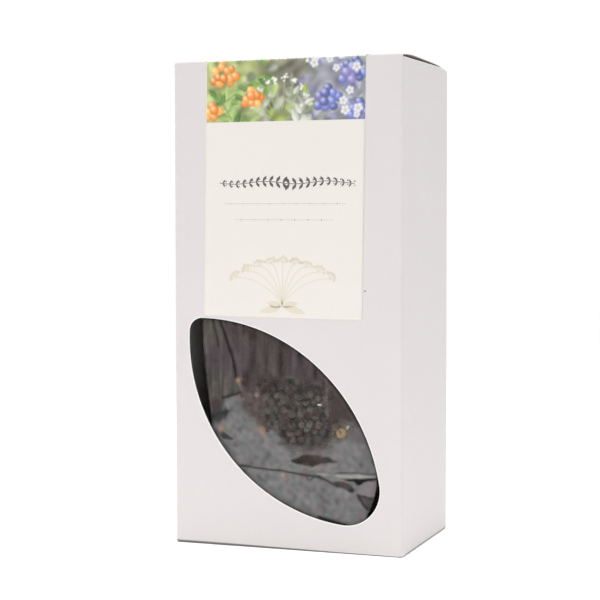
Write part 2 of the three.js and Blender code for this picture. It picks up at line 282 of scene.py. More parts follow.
SIDE_TOP = 196.5 * MM
RIM_FRONT = 197.35 * MM
RIM_RISE = 1.25 * MM
RIM_FALL = 2.0 * MM
RIM_FALL_START = 0.84
RIM_END_GAP = 0.6 * MM
FOLD_AXIS_Z = 197.55 * MM
DUST_AXIS = HALF_WIDTH - BOARD / 2
LID_AXIS_Y = HALF_DEPTH - BOARD / 2
LID_CREASE_FOOT = 196.9 * MM
LID_CREASE_GAP = 1.0 * MM
TUCK_AXIS_Y = -32.95 * MM
TUCK_CREASE_GAP = 4.5 * MM
LID_FRONT_UNDER = 197.9 * MM
BEAD = 0.27 * MM


def xyz(x, y, z):
    """Points from their three coordinates, each an array or a number."""
    return np.stack(np.broadcast_arrays(x, y, z), -1)


def grid_faces(rows, columns, closed=()):
    """The cells of a grid of points as faces. closed names the axes, 0 for rows and 1 for
    columns, on which the last place is joined to the first."""
    number = np.arange(rows * columns).reshape(rows, columns)
    for axis in closed:
        number = np.concatenate([number, np.take(number, [0], axis)], axis)
    corners = (number[:-1, :-1], number[:-1, 1:], number[1:, 1:], number[1:, :-1])
    return np.stack(corners, axis=-1).reshape(-1, 4)


def tube_faces(rings, sides, turned=False):
    """The faces of a row of rings: its cells and a face over each end. turned is for rings
    that run the other way round."""
    ring = list(range(sides))
    last = [number + (rings - 1) * sides for number in ring]
    faces = [*grid_faces(rings, sides, closed=(1,)).tolist(), ring[::-1], last]
    return [face[::-1] for face in faces] if turned else faces


def make_piece(name, points, faces, material, body, slot):
    """A mesh object from points in metres and lists of faces, riding on a body."""
    mesh = bpy.data.meshes.new(name)
    mesh.from_pydata(np.reshape(points, (-1, 3)).tolist(), [], [list(f) for f in faces])
    mesh.materials.append(material)
    mesh.shade_smooth()
    piece = bpy.data.objects.new(name, mesh)
    bpy.context.scene.collection.objects.link(piece)
    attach(piece, body)
    return piece


def crease_bead(run, across, crest, foot, along_x=True, over=1):
    """A board's edge carried along a crease, as points and faces. In section it goes from a
    foot on one side of the crease, round it in a half circle and back to the foot. crest
    holds the height of the circle's centre at each place of the run, and over is 1 where the
    board folds upwards and -1 downwards."""
    angle = np.linspace(math.pi, 0, 7)
    offset = across + np.concatenate([[-BEAD], BEAD * np.cos(angle), [BEAD]]) * over
    rise = np.concatenate([[0], BEAD * np.sin(angle), [0]]) * over
    up = np.reshape(crest, (-1, 1)) + rise
    up[:, [0, -1]] = foot
    run = np.reshape(run, (-1, 1))
    points = xyz(run, offset, up) if along_x else xyz(offset, run, up)
    return points.reshape(-1, 3), tube_faces(*up.shape, turned=not along_x)


def side_crease(side):
    """The sprung crease over one side: it rises evenly from front to rear, then falls by the
    square of the way past its highest point."""
    y = np.linspace(-HALF_DEPTH + RIM_END_GAP, HALF_DEPTH - RIM_END_GAP, 60)
    way = (y + HALF_DEPTH) / (2 * HALF_DEPTH)
    past = np.clip((way - RIM_FALL_START) / (1 - RIM_FALL_START), 0, 1)
    crest = RIM_FRONT + RIM_RISE * way - RIM_FALL * past ** 2 - BEAD
    return crease_bead(y, side * DUST_AXIS, crest, SIDE_TOP, along_x=False)


def join_meshes(parts):
    """Several sets of points and faces as one."""
    points, faces, start = [], [], 0
    for part_points, part_faces in parts:
        points.append(part_points)
        faces += [[index + start for index in face] for face in part_faces]
        start += len(part_points)
    return np.concatenate(points), faces


both_ends = np.array([-1, 1])
rear_crease = crease_bead(both_ends * (HALF_WIDTH - LID_CREASE_GAP), LID_AXIS_Y,
                          [FOLD_AXIS_Z] * 2, LID_CREASE_FOOT)
wall_creases = join_meshes([side_crease(-1), side_crease(1), rear_crease])
make_piece("board_creases", *wall_creases, crease_board, "carton", "board")
tuck_crease = crease_bead(both_ends * (HALF_WIDTH - TUCK_CREASE_GAP), TUCK_AXIS_Y,
                          [FOLD_AXIS_Z] * 2, LID_FRONT_UNDER + 0.1 * MM, over=-1)
make_piece("lid_front_crease", *tuck_crease, flap_board, "lid", "board")


# --- The window's rim ----------------------------------------------------------------
# The window is a leaf between two arcs, stamped out of the front panel. The cutting rule
# has pressed the board's face down round it and left a narrow rim of bare white fibre.

UPPER_CENTRE, UPPER_RADIUS = np.array([11.6, 15.8]), 77.8
LOWER_CENTRE, LOWER_RADIUS = np.array([80.4, 85.0]), 74.0
UPPER_TIP_RADIUS = 5.5
LOWER_TIP_RADIUS = 14.5
CARTON_LEFT = -HALF_WIDTH / MM
RIM_INSIDE = -0.02
RIM_LIP = 0.06
RIM_WIDTH = 0.45
RIM_FACE = -HALF_DEPTH - 0.03 * MM
RIM_SHOULDER = RIM_FACE + 0.02 * MM
RIM_BACK = -HALF_DEPTH + 1.1 * BOARD


def panel_points(x, z, y):
    """Points at x across and z up, in millimetres from the carton's lower left corner, and
    at the depth y in metres."""
    return xyz((x + CARTON_LEFT) * MM, y, z * MM)


def tip_centre(tip_radius, side):
    """The centre of the circle that rounds a tip. It touches both arcs from inside, so it
    lies one tip radius nearer to the centre of each."""
    reach_upper, reach_lower = UPPER_RADIUS - tip_radius, LOWER_RADIUS - tip_radius
    way = LOWER_CENTRE - UPPER_CENTRE
    apart = np.hypot(*way)
    along = (reach_upper ** 2 - reach_lower ** 2 + apart ** 2) / (2 * apart)
    off = side * math.sqrt(reach_upper ** 2 - along ** 2)
    return UPPER_CENTRE + (along * way + off * np.array([-way[1], way[0]])) / apart


def window_outline(outwards):
    """The window's outline moved outwards, clockwise, in millimetres from the carton's lower
    left corner: upper arc, lower tip, lower arc, upper tip."""
    top, foot = tip_centre(UPPER_TIP_RADIUS, 1), tip_centre(LOWER_TIP_RADIUS, -1)
    points = []
    for centre, radius, start, end, count in (
            (UPPER_CENTRE, UPPER_RADIUS, top - UPPER_CENTRE, foot - UPPER_CENTRE, 70),
            (foot, LOWER_TIP_RADIUS, foot - UPPER_CENTRE, foot - LOWER_CENTRE, 24),
            (LOWER_CENTRE, LOWER_RADIUS, foot - LOWER_CENTRE, top - LOWER_CENTRE, 70),
            (top, UPPER_TIP_RADIUS, top - LOWER_CENTRE, top - UPPER_CENTRE, 20)):
        first, last = (math.atan2(way[1], way[0]) for way in (start, end))
        last -= 2 * math.pi * math.ceil((last - first) / (2 * math.pi))
        angle = np.linspace(first, last, count, endpoint=False)
        around = np.stack([np.cos(angle), np.sin(angle)], 1)
        points.append(centre + (radius + outwards) * around)
    return np.concatenate(points)


def stored_colour(spot, name):
    """The colours stored on the piece under a name."""
    return add_node(spot.tree, "Attribute", (), "Color", attribute_name=name)


def paper_material(name, colour, fibres, cloudiness, roughness, depth, strength,
                   specular=0.5):
    """A fibrous surface of one colour, or of the colours stored on the piece under a name,
    which the grain makes lighter and darker."""
    material, shader, spot = new_material(name)
    if isinstance(colour, str):
        colour = stored_colour(spot, colour)
    tone, height = grain(spot, fibres, cloudiness)
    finish_material(shader, blend(1.0, colour, tone, "MULTIPLY"),
                    height.ramp(0.5, 1.1, *roughness), height, depth, strength, specular)
    return material


bare_fibre = paper_material("window_rim", BOARD_FIBRE_AND_HIGHLIGHT, 2400, 0.06, (0.75, 0.9),
                            0.05 * MM, 0.4)
rim_points = np.stack([
    panel_points(*window_outline(outwards).T, face) for outwards, face in
    ((RIM_INSIDE, RIM_BACK), (RIM_INSIDE, RIM_SHOULDER), (RIM_LIP, RIM_FACE),
     (RIM_WIDTH, RIM_SHOULDER), (RIM_WIDTH, RIM_BACK))])
make_piece("window_rim", rim_points, grid_faces(*rim_points.shape[:2], closed=(1, 0)),
           bare_fibre, "carton", "board")


# --- A fleck in the board ------------------------------------------------------------
# Right of the label one dark fibre lies pressed in the white face. It is a flat crumb with
# three blunt lobes, sunk in the board for most of its thickness.

FLECK_PLACE = (82.4, 105.4)
FLECK_RADIUS = 0.42
FLECK_CORNERS = 9
FLECK_ROOT = -HALF_DEPTH + 0.1 * MM
FLECK_THICKNESS = 0.115 * MM
FLECK_DARK = (0.10, 0.09, 0.09, 1)
FLECK_PALE = (0.28, 0.26, 0.25, 1)


def full_turn(count):
    """Angles evenly round a full turn."""
    return np.linspace(0, 2 * math.pi, count, endpoint=False)


dark_fibre, fleck_shader, fleck_spot = new_material("dark_fibre")
feed(fleck_shader.inputs["Base Color"], blend(fleck_spot.noise(3000), FLECK_DARK, FLECK_PALE))
feed(fleck_shader.inputs["Roughness"], 0.8)
fleck_turn = full_turn(FLECK_CORNERS)
fleck_reach = FLECK_RADIUS * (1 + 0.25 * np.sin(3 * fleck_turn + 1))
fleck_root = panel_points(FLECK_PLACE[0] + fleck_reach * np.cos(fleck_turn),
                          FLECK_PLACE[1] + 0.8 * fleck_reach * np.sin(fleck_turn),
                          FLECK_ROOT)
make_piece("board_fleck", [fleck_root, fleck_root - [0, FLECK_THICKNESS, 0]],
           tube_faces(2, FLECK_CORNERS), dark_fibre, "carton", "board")


# --- The paper label -----------------------------------------------------------------
# One strip of cream paper is glued flat up the front panel and over the top edge onto the
# lid, where it seals the carton. It is slit along that edge, so its end lifts with the lid.

LABEL_CREAM = (0.682, 0.650, 0.608, 1)
LABEL_WORN = (0.86, 0.85, 0.84)
LABEL_PAPER = 0.09 * MM
LABEL_GLUE = 0.02 * MM
LABEL_LEAN = 1.5 * MM
LABEL_FOOT_TILT = 0.7 * MM
LABEL_TOP_GAP = 0.3 * MM
LABEL_BEND = 0.6 * MM
LABEL_FRAY = 0.10 * MM
PANEL_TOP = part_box("carton_body")[1].z
LID_FRONT_TOP = LID_FRONT_UNDER + BOARD
LID_REAR_DROP = 0.6 * MM
LID_ARCH = 1.5 * MM
label_low, label_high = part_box("label_front")
tab_low, tab_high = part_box("label_seal_tab")
label_width = (tab_high.x - tab_low.x) / MM


def paint_points(piece, name, colours):
    """Stores a colour for each point of a piece, as red, green and blue in linear light."""
    layer = piece.data.color_attributes.new(name=name, type="FLOAT_COLOR", domain="POINT")
    flat = np.concatenate([np.reshape(colours, (-1, 3)), np.ones((colours.size // 3, 1))], 1)
    layer.data.foreach_set("color", flat.astype(np.float32).ravel())


def lid_top(y):
    """The height of the lid's upper face: an even fall from the front crease to the rear,
    and over it a bulge that is less by the fourth power of the way from the middle."""
    rearwards = (y + HALF_DEPTH) / (2 * HALF_DEPTH)
    return LID_FRONT_TOP - LID_REAR_DROP * rearwards + LID_ARCH * (1 - (y / HALF_DEPTH) ** 4)


def label_front_points(across, down, lift):
    """Points on the front part of the label. across runs from 0 to 1 between its sides and
    down is the distance below the top edge. The sides lean a little, the foot is tilted, and
    the paper stands off the board by its glue, by lift, and by ripples of a fiftieth of a mm."""
    fall = down / (label_high.z - label_low.z)
    x = label_low.x + LABEL_LEAN * (1 - fall) + label_width * MM * across
    z = PANEL_TOP - down + LABEL_FOOT_TILT * (1 - across) * fall
    ripple = np.sin(x / (9 * MM) + 1.1) * np.sin(z / (14 * MM))
    ripple = ripple + np.sin(z / (5 * MM) + x / (17 * MM))
    stand = LABEL_PAPER + LABEL_GLUE + lift + 0.01 * MM * (1 + ripple / 2)
    return xyz(x, -HALF_DEPTH - stand, z)


def seal_tab_points(across, along, lift):
    """Points on the label's end. along is the distance past the front edge: first a quarter
    turn over the edge, then a run that follows the lid. Its outer edge is a little frayed."""
    turn = LABEL_BEND * math.pi / 2
    angle = np.clip(along / turn, 0, 1) * math.pi / 2
    past = np.clip(along - turn, 0, None)
    thickness = LABEL_PAPER + LABEL_GLUE + lift
    start_y = -HALF_DEPTH + LABEL_BEND
    y = start_y - (LABEL_BEND + thickness) * np.cos(angle) + past
    rise = lid_top(start_y) - PANEL_TOP + thickness
    fray = LABEL_FRAY * np.sin(angle) * np.cos(angle) * (
        1 + np.sin(across * 61) + np.sin(across * 143 + 2))
    z = np.where(past > 0, lid_top(start_y + past) + thickness,
                 PANEL_TOP + rise * np.sin(angle) + fray)
    return xyz(tab_low.x + (tab_high.x - tab_low.x) * across, y, z)


def label_sheet(name, on_lid, across, run, lift, material):
    """Paper or print on one part of the label, as a grid of places across it and along its
    run from the top edge. The front part runs downwards, so its faces are turned."""
    points_at = seal_tab_points if on_lid else label_front_points
    faces = grid_faces(len(run), len(across))
    return make_piece(name, points_at(*np.meshgrid(across, run), lift),
                      faces if on_lid else faces[:, ::-1], material,
                      "lid" if on_lid else "carton", "label_paper")


def thicken(piece, thickness):
    """Gives a sheet its thickness, behind its outer face."""
    modifier = piece.modifiers.new("paper", "SOLIDIFY")
    modifier.thickness = thickness
    modifier.offset = -1


paper = paper_material("label_paper", LABEL_CREAM, 1500, 0.03, (0.62, 0.78), 0.05 * MM, 0.3,
                       0.25)
label_length = label_high.z - label_low.z - LABEL_TOP_GAP
label_front = label_sheet("label_paper_front", False, np.linspace(0, 1, 71),
                          np.linspace(0, label_length, 105), 0.0, paper)
thicken(label_front, LABEL_PAPER)
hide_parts("label_front")
seal_tab = label_sheet("label_paper_tab", True, np.linspace(0, 1, 141),
                       np.linspace(0, tab_high.y - tab_low.y, 91), 0.0, paper)
thicken(seal_tab, LABEL_PAPER)
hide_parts("label_seal_tab")


# --- The printed band ----------------------------------------------------------------
# A strip of four-colour print across the head of the label, wrapped over the top edge: one
# hedge in autumn, from orange rowan through a pale umbel to blue sloes, with the leaves
# running on from one to the next. It is rubbed to white where it folds over the edge.

BAND_DEPTH = 24.9 * MM
BAND_MARGIN = 0.55 / label_width
BAND_OVER_LID = 9 * MM
BAND_STEP = 0.24
BAND_DENSITY = 0.93
BACK_BLUR = 0.45
PRINT_BLUR = 0.22
BACK_LEAVES = 46
INK_LIFT = 0.012 * MM


def linear(*tone):
    """A screen colour of red, green and blue from 0 to 255 as linear light."""
    share = np.array(tone) / 255
    return np.where(share < 0.04045, share / 12.92, ((share + 0.055) / 1.055) ** 2.4)


def linears(*tones):
    """Several screen colours as linear light."""
    return [linear(*tone) for tone in tones]


GREEN_LEAVES = linears((120, 156, 82), (158, 190, 112), (190, 208, 140), (98, 130, 70))
GREY_LEAVES = linears((180, 184, 170), (208, 210, 198), (136, 142, 122), (160, 182, 84))
VIOLET_LEAVES = linears((156, 154, 184), (196, 196, 210), (128, 130, 168), (166, 176, 156))
ROWAN = linears((236, 152, 72), (240, 170, 92), (224, 130, 56))
SLOE = linears((98, 106, 168), (112, 120, 186), (134, 126, 180), (84, 92, 150))
WHITE_HEADS = linears((236, 238, 226), (212, 216, 200), (246, 246, 240))
GREY_HEADS = linears((232, 234, 226), (200, 206, 200))


def mix(first, second, share):
    """The value that lies a given share of the way from the first to the second."""
    return first + (second - first) * share


def cover(picture, mask, ink):
    """Prints one ink over a picture, as strongly as the mask says."""
    return mix(picture, ink, mask[..., None])


def bell(away):
    """1 in the middle, falling off as a bell curve with the square of a distance."""
    return np.exp(-away ** 2)


def soft_step(value, low, high):
    """0 below low, 1 above high, and a smooth rise between."""
    share = np.clip((value - low) / (high - low), 0, 1)
    return share * share * (3 - 2 * share)


def rough_waves(x, z, seed, longest, shortest, count=14):
    """Smooth random relief between about -1 and 1: a sum of waves of random direction,
    length and phase."""
    random = np.random.default_rng(seed)
    length = np.exp(random.uniform(math.log(shortest), math.log(longest), count))
    angle, phase = random.uniform(0, 2 * math.pi, (2, count))
    way = x[..., None] * np.cos(angle) + z[..., None] * np.sin(angle)
    return np.sin(2 * math.pi * way / length + phase).sum(-1) / math.sqrt(count)


def blur(picture, spread):
    """A picture blurred by a bell curve whose spread is given in cells, worked out on its
    waves: each is weakened by the bell of its frequency. The edges are mirrored first."""
    margin = int(3 * spread) + 1
    wide = np.pad(picture, [(margin, margin)] * 2 + [(0, 0)] * (picture.ndim - 2), "reflect")
    bell = [np.exp(-2 * (math.pi * spread * np.fft.fftfreq(size)) ** 2)
            for size in wide.shape[:2]]
    weight = (bell[0][:, None] * bell[1]).reshape(wide.shape[:2] + (1,) * (picture.ndim - 2))
    smooth = np.fft.ifft2(np.fft.fft2(wide, axes=(0, 1)) * weight, axes=(0, 1)).real
    return smooth[margin:-margin, margin:-margin]


class Hedge:
    """A picture painted over millimetres x across and y down, front plants last."""

    def __init__(self, x, y, picture, seed):
        self.x, self.y, self.picture = x, y, picture
        self.random = np.random.default_rng(seed)

    def paint(self, mask, ink):
        """Prints one ink where the mask says."""
        self.picture = cover(self.picture, mask, ink)

    def tint(self, inks):
        """One of the inks, a little lighter or darker."""
        return inks[self.random.integers(len(inks))] * self.random.uniform(0.82, 1.2)

    def from_root(self, root, angle):
        """How far each point lies from a root along a direction, and how far off it."""
        x, y = self.x - root[0], self.y - root[1]
        return (x * math.cos(angle) + y * math.sin(angle),
                y * math.cos(angle) - x * math.sin(angle))

    def leaf(self, root, angle, length, width, ink):
        """A pointed leaf from its root. Its half width follows the sine of the way along, it
        is lighter on one side of its rib and darker towards its tip, and the rib is pale."""
        along, off = self.from_root(root, angle)
        way = np.clip(along / length, 0, 1)
        half = width * np.sin(math.pi * way ** 0.8)
        mask = soft_step(half - np.abs(off), -0.1, 0.2) * (half > 0) * 0.95
        shade = 1.12 - 0.3 * way - 0.22 * soft_step(off, -0.1, 0.1)
        self.paint(mask, ink * shade[..., None])
        self.paint(bell(off / 0.14) * mask * 0.35, np.minimum(ink * 2.2, 0.9))

    def stroke(self, root, angle, length, width, ink):
        """A straight piece of stalk."""
        along, off = self.from_root(root, angle)
        mask = bell(off / width) * soft_step(along, -0.15, 0.1)
        self.paint(mask * soft_step(length - along, -0.15, 0.1), ink)

    def spray(self, root, angle, length, leaf_length, inks, pairs, bend):
        """A twig with its leaves in pairs, shorter towards the tip, and one at the end."""
        step = length / pairs
        root = np.array(root, float)
        for number in range(pairs):
            size = leaf_length * (1 - 0.45 * number / pairs)
            for side in (-1, 1):
                self.leaf(root, angle + side * self.random.uniform(0.75, 1.0), size,
                          size * 0.23, self.tint(inks))
            self.stroke(root, angle, step, 0.2, inks[0] * 0.6)
            root = root + step * np.array([math.cos(angle), math.sin(angle)])
            angle += bend / pairs
        self.leaf(root, angle, leaf_length * 0.7, leaf_length * 0.17, self.tint(inks))

    def ball(self, centre, radius, ink, gleam, shine=0.75):
        """A round fruit: darker towards its rim, with a gleam up to its left."""
        x, y = (self.x - centre[0]) / radius, (self.y - centre[1]) / radius
        mask = soft_step(1 - np.hypot(x, y), -0.05, 0.14)
        self.paint(mask, ink * (1.18 - 0.5 * (x * x + y * y))[..., None])
        bright = bell(np.hypot(x + 0.35, y + 0.4) / 0.45)
        self.paint(bright * mask * shine, gleam)

    def bunch(self, centre, count, spread, radius, inks, gleam):
        """Fruits heaped round a centre, the nearest last."""
        for number in range(count):
            angle = number * 2.4 + self.random.uniform(-0.3, 0.3)
            away = spread * math.sqrt(1 - number / count)
            self.ball((centre[0] + away * math.cos(angle), centre[1] + away * math.sin(angle)),
                      radius * self.random.uniform(0.85, 1.15), self.tint(inks), gleam)

    def blossom(self, centre, size):
        """A small pale blossom: five round petals about a yellow middle."""
        start = self.random.uniform(0, 6)
        for turn in start + np.arange(5) * 2 * math.pi / 5:
            petal = (centre[0] + size * math.cos(turn), centre[1] + size * math.sin(turn))
            self.ball(petal, 0.72 * size, linear(212, 213, 222), linear(238, 240, 246), 0.5)
        self.ball(centre, 0.42 * size, linear(206, 186, 96), linear(236, 224, 160), 0.4)

    def umbel(self, foot, angle, reach, rays, stalk, petals):
        """Rays that fan out from one foot, each with a head of small round petals."""
        for lean in np.linspace(-1.0, 1.0, rays):
            away = reach * (1 - 0.18 * lean ** 2) * self.random.uniform(0.93, 1.07)
            self.stroke(foot, angle + lean, away, 0.16, stalk)
            head = (foot[0] + away * math.cos(angle + lean),
                    foot[1] + away * math.sin(angle + lean))
            for _ in range(9):
                self.ball(head + self.random.normal(0, 0.62, 2), 0.42, self.tint(petals),
                          linear(244, 244, 238), 0.5)


def band_ground(x, y):
    """The ground of the band: it drifts from green through brown to grey from left to right,
    under soft clouds."""
    drift = x / 68 + 0.05 * np.sin(y / 5 + x / 9)
    ground = cover(np.ones(x.shape + (3,)) * linear(164, 172, 112),
                   soft_step(drift, 0.22, 0.5), linear(118, 114, 100))
    ground = cover(ground, soft_step(drift, 0.55, 0.82), linear(150, 150, 160))
    clouds = rough_waves(x, y, 21, 16, 4)
    return ground * np.clip(1 + 0.4 * clouds[..., None], 0.3, 1.8)


def band_picture(x, y):
    """The band's print at points x across and y down from the fold, in millimetres. On the
    ground come blurred leaves, then three plants with their leaves and their fruit, then
    blossoms, and last the white wear along the fold."""
    hedge = Hedge(x, y, band_ground(x, y), 12)
    for inks, low, high in ((GREEN_LEAVES, -2, 30), (GREY_LEAVES, 18, 52),
                            (VIOLET_LEAVES, 42, 70)):
        for _ in range(BACK_LEAVES):
            root = hedge.random.uniform((low, -9), (high, 27))
            hedge.leaf(root, hedge.random.uniform(0, 2 * math.pi),
                       hedge.random.uniform(3, 7.5), hedge.random.uniform(0.8, 1.9),
                       hedge.tint(inks))
    hedge.picture = blur(hedge.picture, BACK_BLUR / BAND_STEP)

    hedge.spray((-2, 27), -0.9, 24, 8.5, GREEN_LEAVES, 6, 0.5)
    hedge.spray((14, 30), -1.9, 18, 7.5, GREEN_LEAVES, 5, -0.5)
    hedge.spray((31, 9), 2.8, 15, 6.4, GREEN_LEAVES, 4, 0.3)
    hedge.spray((44, 29), -2.1, 20, 7.2, GREY_LEAVES, 5, 0.5)
    hedge.umbel((33.0, 26), -1.6, 18, 10, linear(170, 194, 88), WHITE_HEADS)
    hedge.umbel((47, -12), 1.8, 13, 7, linear(186, 204, 110), GREY_HEADS)
    hedge.spray((38, 29), -1.0, 16, 7.0, GREY_LEAVES, 4, -0.6)
    hedge.spray((72, 2), 2.55, 22, 7.4, VIOLET_LEAVES, 5, -0.5)
    hedge.spray((72, 28), -2.3, 16, 6.8, VIOLET_LEAVES, 4, 0.4)
    for radius, inks, gleam, bunches in (
            (1.85, ROWAN, linear(255, 228, 176),
             (((8.0, 5.5), 12, 5.2), ((20.5, 15.5), 8, 3.8), ((3.0, 20.5), 6, 3.0))),
            (1.95, SLOE, linear(206, 212, 240),
             (((52.5, 16.5), 10, 4.8), ((62.5, 5.5), 11, 5.2), ((65.5, 21.0), 7, 3.6)))):
        for centre, count, spread in bunches:
            hedge.bunch(centre, count, spread, radius, inks, gleam)
    for spot in hedge.random.uniform((46, -8), (68, 25), (12, 2)):
        hedge.blossom(spot, hedge.random.uniform(0.75, 1.25))

    picture = blur(hedge.picture, PRINT_BLUR / BAND_STEP) * BAND_DENSITY
    flecks = np.sin(x * 5.1 + 2 * np.sin(x * 1.7)) + np.sin(x * 9.3 + 1.3)
    wear = bell((y + 0.45) / (0.42 + 0.12 * flecks))
    return np.clip(cover(picture, 0.8 * wear, np.array(LABEL_WORN)), 0.004, 0.9)


def print_material(name):
    """Printing ink on paper: the piece's own colours, broken up by the paper's grain."""
    return paper_material(name, "ink", 1500, 0.05, (0.45, 0.62), 0.04 * MM, 0.2, 0.3)


band_ink = print_material("band_ink")
band_across = np.linspace(BAND_MARGIN, 1, int(label_width / BAND_STEP))
front_down = np.arange(0, BAND_DEPTH, BAND_STEP * MM)
tab_along = np.arange(0, BAND_OVER_LID, BAND_STEP * MM)
band_down = np.concatenate([-tab_along[::-1], front_down[1:]])
band_inks = band_picture(*np.meshgrid(band_across * label_width, band_down / MM))
fold_row = len(tab_along) - 1
band_front = label_sheet("label_band_front", False, band_across, front_down, INK_LIFT, band_ink)
paint_points(band_front, "ink", band_inks[fold_row:])
band_tab = label_sheet("label_band_tab", True, band_across, tab_along, INK_LIFT, band_ink)
paint_points(band_tab, "ink", band_inks[fold_row::-1])


# --- The label's ornament ------------------------------------------------------------
# Below the band the label carries plain printed ornament in place of words: a leafy
# garland and two dotted rules in warm grey, and a pale umbel of berries at the foot.

GARLAND_INK = linear(92, 86, 84)
RULE_INK = linear(140, 136, 134)
PALE_INK = linear(206, 200, 182)
LEAF_STEP = 2.9
DOT_STEP = 1.15


class Ornament:
    """Flat printed shapes on the front label, collected in label millimetres: across from
    the left side and down from the fold. Each shape is one face with one ink."""

    def __init__(self):
        self.points, self.faces, self.inks = [], [], []

    def add(self, across, down, ink):
        """Adds a closed outline, turned the same way round as the others."""
        outline = np.stack([across, down], 1)
        if (across * np.roll(down, -1) - down * np.roll(across, -1)).sum() > 0:
            outline = outline[::-1]
        start = len(self.points)
        self.points.extend(outline)
        self.faces.append(range(start, start + len(outline)))
        self.inks.extend([ink] * len(outline))

    def leaf(self, root, angle, length, width, ink):
        """A leaf from its root: half width times the sine of the way along, both sides."""
        way = np.linspace(0, 1, 7)
        side = width * np.sin(math.pi * way) * (1.25 - 0.5 * way)
        along = np.concatenate([way, way[-2:0:-1]]) * length
        off = np.concatenate([side, -side[-2:0:-1]])
        self.add(root[0] + along * math.cos(angle) - off * math.sin(angle),
                 root[1] + along * math.sin(angle) + off * math.cos(angle), ink)

    def dot(self, centre, radius, ink):
        """A round dot of ten sides."""
        turn = full_turn(10)
        self.add(centre[0] + radius * np.cos(turn), centre[1] + radius * np.sin(turn), ink)

    def stroke(self, across, down, width, ink):
        """A pen stroke along a path, as one face that follows both its sides."""
        path = np.stack([across, down], 1)
        step = np.gradient(path, axis=0)
        normal = np.stack([-step[:, 1], step[:, 0]], 1)
        normal *= width / 2 / np.linalg.norm(normal, axis=1)[:, None]
        self.add(*np.concatenate([path + normal, (path - normal)[::-1]]).T, ink)

    def finish(self, name, material):
        """Lays the collected shapes on the label and makes them one piece."""
        across, down = np.array(self.points).T
        points = label_front_points(across / label_width, down * MM, INK_LIFT)
        piece = make_piece(name, points, self.faces, material, "carton", "label_paper")
        paint_points(piece, "ink", np.array(self.inks))


def garland(ornament, left, right, level):
    """A waving stem with leaves in pairs that shorten towards both ends, and berry dots."""
    def wave(x):
        return level + 0.55 * np.sin((x - left) / 4.2)

    x = np.linspace(left, right, 60)
    ornament.stroke(x, wave(x), 0.28, GARLAND_INK)
    middle, half = (left + right) / 2, (right - left) / 2
    for position in np.arange(left + 1.5, right - 1, LEAF_STEP):
        size = 1.15 - 0.55 * abs(position - middle) / half
        stem = wave(position)
        away = 0 if position < middle else math.pi
        for side in (-1, 1):
            ornament.leaf((position, stem), away + side * 0.95, 3.0 * size, 0.55 * size,
                          GARLAND_INK)
        ornament.dot((position + 1.4, stem - 1.25 * size), 0.32, GARLAND_INK)
        ornament.dot((position + 1.4, stem + 1.3 * size), 0.26, GARLAND_INK)


def dotted_rule(ornament, left, right, level):
    """A row of fine dots, every fifth of them larger."""
    for number, position in enumerate(np.arange(left, right, DOT_STEP)):
        ornament.dot((position, level), 0.3 if number % 5 == 2 else 0.18, RULE_INK)


def berry_umbel(ornament, foot, spread, rise):
    """A pale umbel: stems fan out from one foot in curves, and fork to small berries."""
    random = np.random.default_rng(5)
    way = np.linspace(0, 1, 12)
    for lean in np.linspace(-1, 1, 9):
        x = foot[0] + spread * lean * way ** 1.25
        y = foot[1] - rise * (1 - 0.35 * lean ** 2) * np.sin(way * math.pi / 2)
        ornament.stroke(x, y, 0.36, PALE_INK)
        for turn in np.linspace(-1.1, 1.1, 5):
            angle = lean * 0.8 + turn
            reach = 2.3 + random.uniform(-0.3, 0.5)
            tip = (x[-1] + reach * math.sin(angle), y[-1] - reach * math.cos(angle))
            ornament.stroke((x[-1], tip[0]), (y[-1], tip[1]), 0.24, PALE_INK)
            ornament.dot(tip, random.uniform(0.55, 0.8), PALE_INK)
    for length, droop in ((10.5, 0.25), (7, -0.2)):
        for angle in (math.pi - droop, droop):
            ornament.leaf((foot[0], foot[1] + 0.5), angle, length, 1.5, PALE_INK)


ornament = Ornament()
garland(ornament, 6.5, 64.5, 49.5)
dotted_rule(ornament, 9, 61, 58.0)
dotted_rule(ornament, 14, 56, 64.5)
berry_umbel(ornament, (34.5, 99), 20, 17)
ornament.finish("label_ornament", print_material("ornament_ink"))


# --- The dried berries ---------------------------------------------------------------
# Elderberries shrink to 3 or 4 mm as they dry. Their thin skins wrinkle from pole to pole,
# and are almost black with an olive or brown cast. They lie packed by their own weight.

bag_low, bag_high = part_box("inner_bag")
heap_low, heap_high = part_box("dried_berries")
BLOCK_POWER = 12
BERRY_PITCH = 3.75 * MM
# A close packing's rows and layers lie nearer together than its columns, by these shares.
PACKED = np.array([1, 0.866, 0.816])
BERRY_SHAKE = 0.42 * MM
HEAP_HALF_HEIGHT = 32.3 * MM
HEAP_CENTRE = np.array([(heap_low.x + heap_high.x) / 2, (heap_low.y + heap_high.y) / 2,
                        heap_low.z + HEAP_HALF_HEIGHT])
HEAP_HALF = np.array([(heap_high.x - heap_low.x) / 2, (heap_high.y - heap_low.y) / 2,
                      HEAP_HALF_HEIGHT])
FRONT_LAYERS = 8 * MM
REAR_LAYERS = 4.5 * MM
CORE_INSET = 5.4 * MM
REAR_RISE = 14 * MM
LEFT_DROP = 3.5 * MM
SKIN_DARK = (0.015, 0.012, 0.011, 1)
SKIN_OLIVE = (0.155, 0.142, 0.120, 1)
SKIN_RED = (0.140, 0.086, 0.084, 1)
SKIN_BLOOM = (0.36, 0.34, 0.32, 1)
FILM_ROOM = 3.4


def bag_sides(z):
    """The bag's left and right edges at a height, in millimetres from the carton's left: the
    left one draws in over the berries, the right one at the foot."""
    left = 9.6 + 4.0 * soft_step(88 - z, 0, 44)
    right = 88.4 - 5.6 * soft_step(29 - z, 0, 21)
    return left, right


